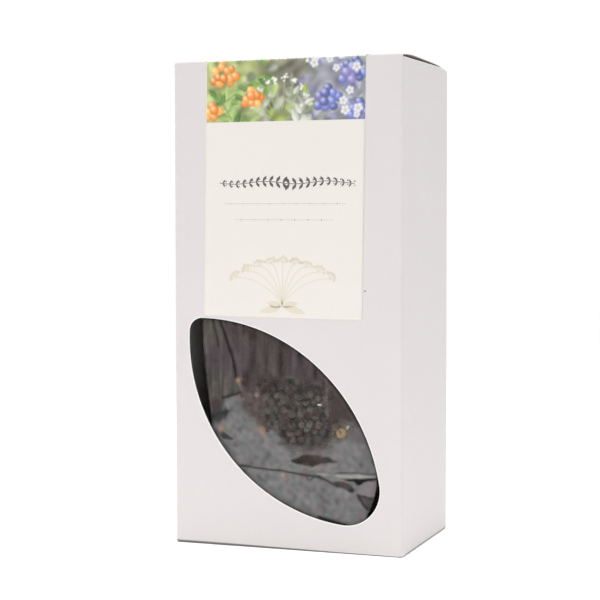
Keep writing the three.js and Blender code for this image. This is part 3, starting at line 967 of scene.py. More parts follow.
def block_size(way):
    """How far a point is from a block's middle, as a share of the way to its face: the root
    of the sum of high powers, which leaves the block's edges and corners round."""
    return (np.abs(way) ** BLOCK_POWER).sum(-1, keepdims=True) ** (1 / BLOCK_POWER)


def lift_heap(points):
    """The upper half of the heap lies higher towards the rear and lower to the left."""
    x, y, z = ((points - HEAP_CENTRE) / HEAP_HALF).T
    rise = REAR_RISE * (1 + y) / 2 - LEFT_DROP * (1 - x) / 2
    return points + xyz(0, 0, np.clip(z, 0, None) * rise)


def packed_centres(random):
    """Centres of packed balls in the outer layers of the heap: a close-packed lattice whose
    points are shaken, kept where they lie in the block and near its outside. The front,
    which the window shows, is packed deepest."""
    steps = (2 * HEAP_HALF / (BERRY_PITCH * PACKED)).astype(int) + 2
    column, row, layer = np.meshgrid(*(np.arange(n) for n in steps), indexing="ij")
    points = BERRY_PITCH * PACKED * xyz(column + 0.5 * (row % 2) + 0.5 * (layer % 2),
                                        row + layer % 2 / 3, layer).reshape(-1, 3)
    points += HEAP_CENTRE - (points.max(0) + points.min(0)) / 2
    points += random.normal(0, BERRY_SHAKE, points.shape)
    room = HEAP_HALF - 1.6 * MM
    reach = block_size((points - HEAP_CENTRE) / room)[:, 0]
    layers = np.where(points[:, 1] < HEAP_CENTRE[1], FRONT_LAYERS, REAR_LAYERS)
    left, right = bag_sides(points[:, 2] / MM)
    x = points[:, 0] / MM - CARTON_LEFT
    held = (x > left + FILM_ROOM) & (x < right - FILM_ROOM)
    return points[(reach < 1) & ((1 - reach) * np.min(room) < layers) & held]


def berry_forms(random, kinds=14, meridians=8):
    """Unit berries as rings of latitude between two poles. Each has its own wrinkles: waves
    round the ring that fade at the poles, a flat or a dent, and a sunken stem end."""
    latitude = np.radians([24, 52, 82, 113, 146])
    polar, turn = np.meshgrid(latitude, full_turn(meridians), indexing="ij")
    poles = [[0, 0, 0.78], [0, 0, -0.92]]
    forms = []
    for _ in range(kinds):
        radius = np.ones_like(polar)
        for waves in (2, 3, 4):
            swing = random.uniform(0.04, 0.1)
            radius += swing * np.cos(waves * turn + random.uniform(0, 6)) * np.sin(polar)
        radius += 0.09 * np.sin(polar * 2 + random.uniform(0, 6))
        radius -= 0.09 * (np.arange(meridians) % 2) * np.sin(polar)
        ring = radius * np.sin(polar)
        rings = xyz(ring * np.cos(turn), ring * np.sin(turn),
                    radius * np.cos(polar) * random.uniform(0.82, 1.0))
        forms.append(np.concatenate([rings.reshape(-1, 3), poles]))
    quads = grid_faces(len(latitude), meridians, closed=(1,))[:, ::-1]
    here = np.arange(meridians)
    following = (here + 1) % meridians
    north, south = polar.size, polar.size + 1
    last = polar.size - meridians
    caps = [*zip([north] * meridians, here, following),
            *zip([south] * meridians, last + following, last + here)]
    return np.array(forms), quads, np.array(caps)


def random_turns(random, count):
    """As many random rotations as asked, as matrices, from quaternions of even spread."""
    quaternions = random.normal(size=(4, count))
    w, x, y, z = quaternions / np.linalg.norm(quaternions, axis=0)
    return np.stack([
        xyz(1 - 2 * (y * y + z * z), 2 * (x * y - z * w), 2 * (x * z + y * w)),
        xyz(2 * (x * y + z * w), 1 - 2 * (x * x + z * z), 2 * (y * z - x * w)),
        xyz(2 * (x * z - y * w), 2 * (y * z + x * w), 1 - 2 * (x * x + y * y))], 1)


def berry_material():
    """Dried skin: almost black, some berries more olive or redder, pale dusty bloom in the
    hollows, fine wrinkles, and a dull shine on the ridges."""
    material, shader, spot = new_material("dried_berry_skin")
    olive, red, dusty = stored_colour(spot, "berry").split("SeparateColor")
    dust = spot.noise(900, 4, 0.65)
    skin_colour = blend(red, blend(olive, SKIN_DARK, SKIN_OLIVE), SKIN_RED)
    skin_colour = blend(dust.ramp(0.45, 0.72) * dusty, skin_colour, SKIN_BLOOM)
    finish_material(shader, skin_colour, dust.ramp(0.35, 0.7, 0.38, 0.72),
                    spot.noise(1500, 3, 0.5, 1.2), 0.25 * MM, 0.7)
    return material


def make_berries(name, centres, sizes, random, material):
    """A mesh of berries: for each centre one of the forms, turned and sized, with three
    random shares stored on its points for its own colour."""
    forms, quads, caps = berry_forms(np.random.default_rng(3))
    count, per_berry = len(centres), forms.shape[1]
    chosen = forms[random.integers(0, len(forms), count)]
    turned = np.einsum("nij,nvj->nvi", random_turns(random, count), chosen)
    points = centres[:, None] + turned * sizes[:, None, None]
    offset = np.arange(count)[:, None, None] * per_berry
    faces = [*(quads[None] + offset).reshape(-1, 4), *(caps[None] + offset).reshape(-1, 3)]
    piece = make_piece(name, points, faces, material, "carton", "berries")
    shares = random.uniform(0, 1, (count, 3)) ** np.array([1.0, 4.0, 1.3])
    paint_points(piece, "berry", np.repeat(shares, per_berry, axis=0))
    return piece


def heap_core(material):
    """The dark middle of the heap, which nothing sees but through chinks: the block drawn
    in by three berries, on a grid of longitude and latitude."""
    rows, columns = 18, 36
    polar, turn = np.meshgrid(np.linspace(0.02, math.pi - 0.02, rows), full_turn(columns),
                              indexing="ij")
    way = xyz(np.sin(polar) * np.cos(turn), np.sin(polar) * np.sin(turn),
              np.cos(polar)).reshape(-1, 3)
    points = lift_heap(HEAP_CENTRE + way / block_size(way) * (HEAP_HALF - CORE_INSET))
    piece = make_piece("berry_heap_core", points, tube_faces(rows, columns, turned=True),
                       material, "carton", "berries")
    paint_points(piece, "berry", np.zeros((len(points), 3)))


berry_random = np.random.default_rng(41)
skin = berry_material()
centres = lift_heap(packed_centres(berry_random))
radii = berry_random.uniform(1.6, 2.2, len(centres)) * MM
to_left = centres[:, 0] < np.median(centres[:, 0])
left_berries = make_berries("berries_left", centres[to_left], radii[to_left],
                            berry_random, skin)
make_berries("berries_right", centres[~to_left], radii[~to_left], berry_random, skin)
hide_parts("dried_berries")
heap_core(skin)


# --- Stalk bits ----------------------------------------------------------------------
# A few crumbs of dry stalk lie among the berries against the film: pale wood, some curled.
# Each is a tube that tapers to a point at both ends. One pale bit stands for a small glint
# on the film, a painted highlight.

CAMERA_PLACE = np.array([0.22305, -0.62948, 0.12942])
PANEL_FACE = -HALF_DEPTH / MM
STALK_FACE = -31.8
STALK_FLATNESS = 0.55
STALK_GROOVES = (0.10, 0.06, 0.035, 1)
STALK_TINTS = linears((212, 182, 142), (218, 210, 192), (192, 158, 138), (222, 214, 212),
                      (186, 172, 166))
# Each: where it is seen on the front panel across and up, length, direction, total curl,
# thickness, tint, how much the film covers it and how far that milky spot reaches.
STALKS = ((72.4, 48.6, 9.0, 0.4, 5.9, 0.95, 0, 0.5, 2.4),
          (75.2, 50.9, 2.2, 0.9, 0.3, 0.55, 1, 0.3, 1.0),
          (38.5, 48.2, 3.6, 0.9, 0.8, 1.1, 2, 0.75, 2.0),
          (36.2, 62.5, 2.3, -0.5, 0.4, 0.5, 4, 0.78, 1.1),
          # This pale bit lies where the film shows a small glint: a painted highlight.
          (63.3, 59.5, 2.0, 0.05, 0.2, 0.5, 3, 0.15, 0.9),
          (28.2, 68.4, 2.2, 1.3, 0.6, 0.6, 0, 0.82, 1.1),
          (47.5, 30.4, 1.8, 1.2, 0.3, 0.5, 1, 0.7, 0.9),
          (48.9, 29.0, 1.5, -0.4, 0.3, 0.5, 2, 0.75, 0.9),
          (20.6, 48.2, 3.2, 0.1, 0.4, 0.9, 2, 0.82, 1.6))


def along_sight(x, z, y, to_y):
    """Where the camera's line of sight through x across and z up at the depth y meets the
    depth to_y: offsets from the eye grow evenly with the distance. All in millimetres."""
    eye_x, eye_y, eye_z = CAMERA_PLACE / MM - [CARTON_LEFT, 0, 0]
    further = (to_y - eye_y) / (y - eye_y)
    return mix(eye_x, x, further), mix(eye_z, z, further)


def stalk_tube(x, z, length, direction, curl, thickness, sides=8, rings=14):
    """One stalk as a tube: its path turns evenly by its curl, its radius swells a little in
    the middle and is less towards the viewer, and both ends close in a point."""
    way = np.linspace(0, 1, rings)
    heading = direction + curl * (way - 0.5)
    path = np.cumsum([np.cos(heading), np.sin(heading)], axis=1) * length / rings
    middle = np.reshape(along_sight(x, z, PANEL_FACE, STALK_FACE), (2, 1))
    path_x, path_z = path - path.mean(1, keepdims=True) + middle
    radius = thickness * (0.75 + 0.25 * np.sin(math.pi * way)) * np.sin(
        math.pi * np.clip(way, 0.02, 0.98)) ** 0.25
    turn = full_turn(sides)
    off = np.outer(radius, np.cos(turn))
    points = panel_points(path_x[:, None] - off * np.sin(heading)[:, None],
                          path_z[:, None] + off * np.cos(heading)[:, None],
                          MM * (STALK_FACE + np.outer(radius * STALK_FLATNESS, np.sin(turn))))
    return points.reshape(-1, 3), tube_faces(rings, sides, turned=True)


def stalk_material():
    """Dry wood, streaked and a little darker in its grooves."""
    material, shader, spot = new_material("dry_stalk")
    grooves = spot.noise(2600, 3, 0.6, 0.4)
    wood = blend(grooves.ramp(0.35, 0.6, 0.55, 0.0), stored_colour(spot, "tint"),
                 STALK_GROOVES)
    finish_material(shader, wood, grooves.ramp(0.3, 0.7, 0.6, 0.8), grooves, 0.12 * MM, 0.6)
    return material


stalk_parts = [stalk_tube(*stalk[:6]) for stalk in STALKS]
stalks = make_piece("stalk_bits", *join_meshes(stalk_parts), stalk_material(), "carton",
                    "berries")
stalk_tints = [np.tile(STALK_TINTS[stalk[6]], (len(part[0]), 1))
               for stalk, part in zip(STALKS, stalk_parts)]
paint_points(stalks, "tint", np.concatenate(stalk_tints))


# --- The clear bag -------------------------------------------------------------------
# A block-bottom bag of clear film, gusseted at both sides. The film clings to the berries
# in the middle, looks milky where it stands off them, and gathers in upright folds above.
# Its milky grey is partly a painted reflection of the floor, and the shade and highlights
# of its folds are painted in its tint.

BAG_CENTRE_X = (bag_low.x + bag_high.x) / 2
BAG_CENTRE_Y = (bag_low.y + bag_high.y) / 2
BAG_HALF_Y = (bag_high.y - bag_low.y) / 2
BAG_BLOCK_HALF = 33.5 * MM
BAG_SHOULDER = 98 * MM
BAG_SEAL_BASE = 150 * MM
BAG_SEAL_HALF = 0.5 * MM
BAG_TUCK = 20 * MM
FILM_CORNER_POWER = 18
FILM_SHEEN = 0.013
FILM_LIGHT = 1.07
RELIEF_CELL = 0.5
RELIEF_SIZE = (220, 200)
RELIEF_DEEPEST = 4.5
BAG_LOOP = (180, 44, 50)
BAG_STEP = 0.5 * MM
# Painted shade: the tone of the bag's sides, dim inside the carton.
SIDE_SHADE_TONE = (40, 36, 35)
SIDE_COVER = 0.7
CLEAR_TONE = (168, 168, 170)
CLEAR_COVER = 0.24


def berry_relief():
    """How far the bag's front plane lies ahead of the berries, in millimetres, on a grid of
    half millimetres from the carton's lower left corner. Each berry counts as a ball."""
    near = centres[:, 1] < HEAP_CENTRE[1] - HEAP_HALF[1] + 9 * MM
    x, y, z = (centres[near] / MM).T
    size = radii[near] / MM
    x = x - CARTON_LEFT
    ahead = np.full(RELIEF_SIZE, RELIEF_DEEPEST)
    column, row = np.round(x / RELIEF_CELL), np.round(z / RELIEF_CELL)
    reach = int(2.0 / RELIEF_CELL) + 1
    for right in range(-reach, reach + 1):
        for up in range(-reach, reach + 1):
            away = np.hypot((column + right) * RELIEF_CELL - x, (row + up) * RELIEF_CELL - z)
            hit = away < size
            face = y[hit] - np.sqrt(size[hit] ** 2 - away[hit] ** 2) - bag_low.y / MM
            np.minimum.at(ahead, ((row + up)[hit].astype(int),
                                  (column + right)[hit].astype(int)), face)
    return ahead


def sample(grid, x, z):
    """The value of a grid of half millimetres at points, from the nearest cell."""
    row, column = (np.clip(np.round(place / RELIEF_CELL), 0, size - 1).astype(int)
                   for place, size in zip((z, x), grid.shape))
    return grid[row, column]


def to_path(x, z, corners, closed=False):
    """Distance from points to a path of straight stretches. For a closed path it is positive
    inside, told by counting the sides crossed, and negative outside."""
    starts = np.array(corners, float)
    ends = np.roll(starts, -1, axis=0)
    if not closed:
        starts, ends = starts[:-1], ends[:-1]
    nearest = np.full(x.shape, 1e3)
    inside = np.zeros(x.shape, bool)
    for (start_x, start_z), (end_x, end_z) in zip(starts, ends):
        run_x, run_z = end_x - start_x, end_z - start_z
        along = ((x - start_x) * run_x + (z - start_z) * run_z) / (run_x ** 2 + run_z ** 2)
        along = np.clip(along, 0, 1)
        away = np.hypot(x - start_x - along * run_x, z - start_z - along * run_z)
        nearest = np.minimum(nearest, away)
        if closed and run_z:
            crossed = (start_z > z) != (end_z > z)
            inside ^= crossed & (x < start_x + run_x * (z - start_z) / run_z)
    return np.where(inside, nearest, -nearest) if closed else nearest


class Film:
    """How the front of the bag looks at points x across and z up, in millimetres from the
    carton's lower left corner: a tint, how much it covers, and how deep it is pressed in.
    Tones are given as they look on a screen, so the film's shine is taken off them, and the
    shade and highlights of its folds, hollows and dents stay painted in them."""

    def __init__(self, x, z):
        self.x, self.z = x, z
        # The haze's grey: partly milky film, partly a painted reflection of the pale floor.
        self.tint = np.ones(x.shape + (3,)) * self.ink((120, 119, 119))
        self.cover = np.full(x.shape, 0.88)
        self.inward = np.full(x.shape, 0.5)

    @staticmethod
    def ink(tone):
        """The film's own colour under a tone that is seen."""
        return np.clip((linear(*tone) - FILM_SHEEN) / FILM_LIGHT, 0.002, None)

    def lay(self, mask, tone, covers, inward=0.0):
        """Lays a tone where the mask is 1."""
        self.tint = cover(self.tint, mask, self.ink(tone))
        self.cover = mix(self.cover, covers, mask)
        self.inward = self.inward + inward * mask

    def mottle(self, relief):
        """Makes the tint lighter where a relief is high and darker where it is low."""
        self.tint = self.tint * (1 + relief)[..., None]

    def area(self, corners, soft, tone, covers, inward=0.0, amount=1.0):
        """A tone inside an outline, with a soft edge."""
        mask = soft_step(to_path(self.x, self.z, corners, True), -soft, soft)
        self.lay(mask * amount, tone, covers, inward)

    def line(self, points, width, tone, covers, inward=0.0, amount=1.0):
        """A fold: a narrow tone along a path, painted shade where it is dark and a painted
        highlight where it is light.
        """
        away = to_path(self.x, self.z, points) / width
        self.lay(bell(away) * amount, tone, covers, inward)

    def spot(self, centre, width, height, tone, covers, amount=1.0):
        """A soft oval tone."""
        away = np.hypot((self.x - centre[0]) / width, (self.z - centre[1]) / height)
        self.lay(bell(away) * amount, tone, covers)

    def pleat(self, middle, width, foot, tone):
        """An upright fold above the berries: a swaying stripe that fades out at its foot. A dark
        stripe is painted shade and is pressed in; a light one is a painted highlight on a ridge.
        """
        sway = middle + 0.5 * np.sin(self.z / 4.3 + 2 * middle)
        fade = 0.75 + 0.25 * np.sin(self.z / 2.6 + 3 * middle)
        mask = fade * bell((self.x - sway) / width)
        self.lay(mask * soft_step(self.z, foot - 1, foot + 2.5) * 0.8, tone, 0.92,
                 0.2 if tone[0] < 75 else -0.1)


# The bag's marks as seen against the front panel, in millimetres across and up. Their tones
# hold painted shade in folds, hollows and dents and painted highlights on ridges.
CLEAR_PATCH = ((40, 72), (39.0, 60), (39.6, 55), (40.2, 49.8), (43.9, 46.1), (46.6, 43.0),
               (50.4, 41.4), (53.8, 40.6), (59.9, 41.2), (65.2, 42.3), (69.8, 44.0),
               (74, 46.8), (77.5, 51), (73, 54.5), (69.5, 58), (69, 72))
BROWN_BLOTCHES = ((28.4, 74), (29, 62), (29.4, 58), (32, 54.4), (35.4, 51.2), (37, 48.6),
                  (42, 47), (45, 56), (46, 74))
# Painted shade in the hollows between the berries of the clear patch.
SHADED_HOLLOWS = ((41.8, 53.6), (48.4, 50.1), (48.7, 45.8), (55.0, 44.4), (60.0, 42.9), (53.2, 64.3),
           (57.3, 61.1), (39.5, 63.9))
LONG_FOLD = ((19.2, 95), (20.0, 93), (21.2, 90), (22.4, 86.7), (23.7, 83.1), (25.0, 79.4),
             (26.1, 75.8), (26.8, 72.5), (27.2, 69.2))
LEFT_PANE = ((8, 96), (19, 96), *LONG_FOLD[1:], (28.4, 66), (29, 63.2), (25.3, 62.2),
             (21.7, 61.3), (21.3, 58.1), (20.6, 56), (19.5, 53.9), (10, 53.9))
PANE_FOOT = ((15, 60.2), (18.3, 61.1), (20.6, 59.6), (20.3, 55.9), (17.4, 54.1), (15, 54))
LEFT_SHADOW = ((13, 54), (15.5, 53.9), (18.1, 54.9), (20.2, 56.2), (23.0, 56.8), (25.4, 56.0),
               (24.0, 54.2), (21.9, 51.9), (20.5, 50.7), (18.1, 50.1), (16.4, 51.0), (13, 51))
LOW_SHADOW = ((20.2, 46.9), (21.3, 47.2), (23.5, 45.7), (26.0, 44.4), (25.6, 43.7),
              (21.3, 43.9), (20.2, 45.2))
RIGHT_VEIL = ((67.2, 68.5), (67.2, 53.7), (70.1, 52.6), (73, 53.4), (76.9, 52.6), (80.5, 50),
              (86, 50), (84, 62), (76, 72))
MAUVE_HAZE = ((75.3, 51), (80.9, 50.2), (86, 50), (86, 44), (83.3, 45.2), (76.9, 44.6))
# The almond-shaped hollow, painted dark as its shade.
ALMOND = ((51.3, 36.3), (53.8, 37.8), (56.3, 38.6), (60, 39.3), (64.2, 39.0), (67.4, 38.0),
          (71.4, 37.0), (67.4, 36.4), (63.8, 35.6), (60.2, 34.8), (57.5, 35.0), (53.8, 35.6))
LOW_FOLD = ((28.9, 33.4), (31.4, 33.2), (35.9, 32.7), (41, 32.4), (46.5, 32.2), (53.8, 31.3),
            (59.3, 30.7), (63.4, 30.3), (65.9, 29.4), (68.5, 28.2), (71.0, 27.1))
# A painted highlight along the ridge of the low fold.
FOLD_HIGHLIGHT = ((60.3, 31.9), (64.7, 32.0), (69.7, 31.9), (75.1, 31.9), (79.3, 32.2),
               (83.4, 31.9), (89.5, 32.0), (89.5, 31.3), (83.4, 31.1), (79.7, 30.8),
               (73.0, 30.5), (67.6, 30.9), (63.4, 31.3))
FOLD_SHADE = ((71.6, 30.0), (77.2, 30.3), (80.1, 30.4), (84.2, 30.8), (89.5, 31.4),
              (89.5, 30.7), (84.2, 29.9), (81.7, 29.1), (80.1, 27.7), (79.1, 28.0),
              (78.0, 29.1), (74.7, 29.6))
CORNER_SHADE = ((69.3, 28.8), (71.4, 29.1), (73.9, 29.0), (76.8, 27.6), (78.4, 26.1),
                (77.6, 24.9), (76.0, 24.8), (73.5, 26.2), (71.0, 26.9))
# A painted highlight on the bag's corner where it comes forward.
CORNER_HIGHLIGHT = ((78.8, 26.3), (81.7, 28.3), (84.2, 29.3), (89.5, 30.2), (89.5, 27.0),
                (86.4, 23.8), (83.8, 23.5), (81.7, 23.9), (79.7, 24.8))
# Painted shade in the corner below it.
CORNER_DARK = ((79.7, 23.7), (81.7, 23.6), (84.2, 22.9), (86.5, 22.2), (86, 20.5),
               (85, 18.4), (83.4, 18.5), (81.7, 20.0), (80.3, 22.3))
# The upright folds: where across, half width, foot and tone.
PLEATS = ((28.6, 1.3, 70, (90, 80, 84)), (31.2, 1.5, 73, (90, 81, 82)),
          (34.8, 1.3, 70, (56, 47, 46)), (38.4, 1.9, 69.5, (86, 79, 75)),
          (41.0, 0.7, 70, (64, 55, 52)), (43.3, 1.4, 69.5, (91, 84, 81)),
          (47.1, 1.5, 69.5, (54, 45, 43)), (51.4, 1.7, 70, (95, 86, 91)),
          (55.2, 1.1, 70, (57, 48, 49)), (58.4, 1.3, 70, (88, 79, 82)),
          (61.1, 0.8, 69.5, (48, 41, 43)), (63.6, 1.2, 69.5, (78, 71, 69)))
# Dents among the upright folds, painted dark as their shade: centre, half width, half height
# and tone.
SHADED_DENTS = (((31.9, 70.4), 1.5, 1.6, (55, 42, 42)), ((31.0, 67.1), 1.3, 1.6, (60, 47, 46)),
         ((37.6, 66.8), 0.9, 1.2, (46, 50, 40)), ((42.5, 66.2), 1.6, 2.2, (54, 43, 46)),
         ((31.3, 88.6), 1.7, 1.4, (58, 54, 48)), ((34.6, 86.2), 1.5, 1.5, (56, 50, 46)))
# Fine folds, back ones first: path, half width, tone, cover, depth pressed in and strength.
# Dark ones are painted shade, light ones painted highlights.
ALMOND_FOLDS = (
    (((51.6, 36.3), (54, 35.7), (57.5, 35.1), (60.5, 34.9)), 0.5, (42, 36, 34), 0.92, 0.1, 0.8),
    (((55.6, 34.0), (61.1, 33.7), (64.7, 34.5), (70, 35.4)), 0.8, (142, 136, 128), 0.9, -0.1,
     0.45))
# The pane's folds: dark ones are painted shade, light ones painted highlights.
PANE_FOLDS = (
    (((13.1, 95), (13.2, 88), (13.7, 79)), 0.6, (106, 102, 97), 0.93, -0.1, 0.7),
    (((15.6, 94), (15.9, 88), (16.4, 84)), 0.5, (98, 94, 90), 0.93, -0.1, 0.5),
    (((16.6, 94), (18.0, 88.7), (18.9, 85.5), (19.3, 82)), 0.55, (42, 40, 37), 0.93, 0.15, 0.8),
    (((22.0, 91.2), (24.2, 86.2), (26.4, 80.7), (27.9, 76.6), (28.8, 72.6), (29.4, 69.3)), 0.6,
     (94, 82, 90), 0.93, -0.15, 0.8),
    (LONG_FOLD, 0.62, (38, 30, 33), 0.96, 0.4, 0.97),
    (((21.2, 61.0), (23.2, 61.4), (25.3, 62.2), (27.2, 62.5), (29, 63.4)), 0.62, (40, 44, 38),
     0.93, 0.2, 0.85),
    (((24.2, 72), (23.9, 67), (23.6, 63.5)), 0.9, (98, 87, 88), 0.93, -0.1, 0.8))
VEIL_FOLD = ((66.1, 69.5), (66.4, 62), (66.8, 54.5))
SHADOW_FOLD = ((14, 53.0), (17, 53.2), (20, 54.2), (23.4, 55.2))
PANE_EDGE = ((15.0, 65), (15.6, 60), (16.1, 55))
LOW_LOOP = ((57.6, 30.4), (58.2, 29.2), (59.6, 29.0), (60.7, 30.3))
CORNER_FOLDS = (
    (((79.5, 23.8), (80.3, 22.3), (81.7, 20.0), (83.6, 18.2)), 0.5, (36, 31, 32), 0.96, 0.2, 0.9),
    (((79.7, 23.9), (82, 23.6), (84.2, 22.9), (86.4, 22.4)), 0.45, (48, 42, 44), 0.96, 0.2, 0.8))
UPPER_FOLD = ((70.1, 32.4), (75.1, 32.7), (78.4, 32.9), (83.4, 32.7), (89.5, 33.0))
# A painted shadow in the gap at the window's foot, where the board shades the film.
FOOT_GAP_SHADOW = ((63, 14.0), (66, 13.4), (70, 12.5), (74, 11.6))


def lay_haze(film, over_berry):
    """The milky film that hangs off the berries: mottled, painted a little lighter over each
    berry as a highlight on its bump, with brown blotches at its left, the clear patch where it
    clings to the berries with painted shade in the hollows between them, and the
    almond-shaped hollow below that, painted dark as its shade, with a painted highlight on
    one of its folds."""
    x, z = film.x, film.z
    clouds = rough_waves(x, z, 11, 24, 6)
    mottle = rough_waves(x, z, 12, 8, 2.6, 24)
    hue = rough_waves(x, z, 13, 9, 3.5)[..., None] * np.array([1, -0.6, 0.1])
    # Partly a painted highlight: lighter where the film bulges over a berry.
    film.mottle(0.1 * clouds + 0.18 * mottle + 0.12 * over_berry - 0.03)
    film.tint = film.tint * (1 + 0.05 * hue)
    film.cover = film.cover - 0.05 * mottle
    film.inward = film.inward + 0.25 * clouds + 0.12 * mottle
    rag = rough_waves(x, z, 14, 9, 2.6, 22)
    blotches = rough_waves(x, z, 32, 6, 2.2, 22)
    brown = soft_step(to_path(x, z, BROWN_BLOTCHES, True) + rag, -1.6, 2.2)
    film.lay(brown * 0.9, (92, 81, 79), 0.76)
    film.lay(brown * soft_step(z, 62, 69) * 0.8, (72, 61, 60), 0.82)
    film.mottle(0.22 * brown * blotches)
    clear = soft_step(to_path(x, z, CLEAR_PATCH, True) + 1.3 * rag, -2.6, 4.6)
    film.lay(clear, (91, 87, 83), 0.36, 0.35)
    veils = soft_step(rough_waves(x, z, 31, 13, 4.5), 0.0, 1.2)
    film.lay(clear * veils, (84, 74, 73), 0.64)
    film.mottle(0.3 * clear * blotches)
    # Painted shade in the hollows between the berries.
    for hollow in SHADED_HOLLOWS:
        film.spot(hollow, 1.9, 1.3, (44, 40, 39), 0.7, 0.75)
    film.spot((60, 41.5), 9, 1.8, (98, 89, 86), 0.8, 0.6)
    almond = soft_step(to_path(x, z, ALMOND, True) + 0.5 * rag, -0.6, 0.6)
    film.lay(almond, (64, 56, 53), 0.88, 0.2)
    film.spot((62.8, 38.2), 3.6, 1.4, (84, 71, 68), 0.88, 0.7)
    film.spot((54.6, 36.5), 2.2, 0.9, (48, 43, 40), 0.9, 0.8)
    for fold in ALMOND_FOLDS:
        film.line(*fold)


def lay_pleats(film):
    """The zone above the fill, painted dim as the shade of the carton's dark inside, where the
    film has gathered in upright folds with painted shade and highlights, and the smooth
    stretch at the right that hangs clear of the berries, painted dark as shade."""
    x, z = film.x, film.z
    fill = 68.6 + 1.0 * np.sin(x / 6.0) + 1.2 * rough_waves(x, z, 4, 30, 9)
    above = soft_step(z - fill, -2.5, 3.0)
    fine = rough_waves(x + 0.4 * np.sin(z / 7), z * 0.08, 9, 3.4, 1.3, 18)
    # Painted shade: the dark inside of the carton above the fill.
    film.lay(above, (80, 71, 72), 0.9, 0.3)
    for pleat in PLEATS:
        film.pleat(*pleat)
    film.mottle(0.14 * fine * above)
    film.inward = film.inward + 0.15 * above * fine
    for dent in SHADED_DENTS:
        film.spot(*dent, 0.9, 0.8)
    # Painted shade on the stretch that hangs clear of the berries.
    film.area(RIGHT_VEIL, 2.0, (71, 61, 61), 0.93, 0.1, 0.95)
    film.area(MAUVE_HAZE, 1.8, (103, 96, 102), 0.92, 0.0, 0.75)
    film.line(VEIL_FOLD, 0.45, (102, 93, 92), 0.92, -0.1, 0.75)


def lay_left_pane(film):
    """The flat pane at the left, bounded by the long fold and its own lower edge, with fine
    upright streaks, painted shade and highlights along its folds, painted shade at its foot
    and a painted highlight on its edge, and the painted shadows in the hollows below it."""
    x, z = film.x, film.z
    fine = rough_waves(x + 0.03 * (95 - z), z * 0.07, 19, 3.2, 1.3, 18)
    edge = 0.45 + 1.3 * soft_step(63 - z, 0, 3)
    pane = soft_step(to_path(x, z, LEFT_PANE, True) / edge, -1, 1)
    film.lay(pane, (86, 83, 78), 0.93)
    film.lay(pane * soft_step(85 - z, -3, 5), (83, 74, 77), 0.93)
    film.lay(pane * soft_step(73 - z, -3, 4), (82, 79, 75), 0.9)
    film.lay(pane * soft_step(fine, 0.2, 1.2) * 0.5, (92, 83, 85), 0.92)
    film.mottle(pane * fine * (0.1 + 0.16 * soft_step(75 - z, 0, 8)))
    for fold in PANE_FOLDS:
        film.line(*fold)
    # Painted shade at the pane's foot.
    film.area(PANE_FOOT, 1.0, (72, 63, 61), 0.93, 0.1, 0.85)
    shade = soft_step(to_path(x, z, LEFT_SHADOW, True) + 0.3 * fine, -1.2, 1.4)
    film.lay(shade, (62, 63, 65), 0.93, 0.2)
    film.line(SHADOW_FOLD, 0.7, (46, 50, 51), 0.93, 0.1, 0.8)
    film.area(LOW_SHADOW, 0.45, (54, 57, 54), 0.93, 0.2, 0.9)
    # A painted highlight along the pane's edge.
    film.line(PANE_EDGE, 0.4, (116, 102, 102), 0.93, -0.1, 0.6)


def lay_low_folds(film):
    """The sharp folds at the foot of the window, up to the corner where the bag's side comes
    forward, with their painted shade and painted highlights; painted shade just inside the
    window's edge and a painted shadow in the gap at its foot; and a painted highlight along
    the bag's left edge."""
    x, z = film.x, film.z
    film.line(LOW_FOLD, 0.42 + 0.2 * soft_step(x, 45, 70), (50, 45, 44), 0.96, 0.4, 0.92)
    film.line(LOW_LOOP, 0.36, (76, 66, 60), 0.92, 0.1, 0.8)
    film.area(CORNER_SHADE, 0.5, (68, 59, 61), 0.94, 0.3, 0.9)
    film.spot((76.8, 25.7), 1.1, 0.9, (42, 35, 37), 0.95, 0.9)
    film.area(CORNER_HIGHLIGHT, 0.4, (124, 117, 119), 0.96, -0.2)
    film.area(CORNER_DARK, 0.4, (84, 77, 80), 0.95, 0.4)
    for fold in CORNER_FOLDS:
        film.line(*fold)
    film.area(FOLD_SHADE, 0.25, (20, 14, 14), 0.98, 0.2)
    film.line(UPPER_FOLD, 0.3, (66, 62, 64), 0.95, 0.1, 0.8)
    film.area(FOLD_HIGHLIGHT, 0.24, (146, 148, 142), 0.97, -0.4)
    film.spot((68.6, 31.3), 1.7, 0.7, (108, 97, 90), 0.95, 0.75)
    from_upper, from_lower = (
        radius - np.hypot(x - centre[0], z - centre[1])
        for centre, radius in ((UPPER_CENTRE, UPPER_RADIUS), (LOWER_CENTRE, LOWER_RADIUS)))
    upright = soft_step(z, 44, 50) * soft_step(74 - z, 0, 6)
    # A painted highlight along the bag's left edge, then painted shade inside both arcs where the
    # board shades the film.
    film.lay(bell((from_upper - 1.7) / 0.3) * 0.35 * upright, (112, 101, 104), 0.94)
    film.lay(bell(np.clip(from_upper, 0, None) / 0.75) * 0.85, (30, 25, 25), 0.97)
    film.lay(bell(np.clip(from_lower, 0, None) / 0.38) * 0.9, (24, 19, 18), 0.97)
    film.line(FOOT_GAP_SHADOW, 0.8, (18, 13, 13), 0.97, 0, 0.9)


def front_film(x, z, over_berry):
    """All the tones of the bag's front, the soft ones at the back first. Where a stalk bit
    touches the film it is milky in the stalk's colour."""
    film = Film(x, z)
    lay_haze(film, over_berry)
    lay_pleats(film)
    lay_left_pane(film)
    lay_low_folds(film)
    for across, up, *_, tint, covers, reach in STALKS:
        mask = bell(np.hypot(x - across, z - up) / reach)
        film.tint = cover(film.tint, 0.75 * mask, STALK_TINTS[tint] * 0.55)
        film.cover = mix(film.cover, covers, mask)
    return film


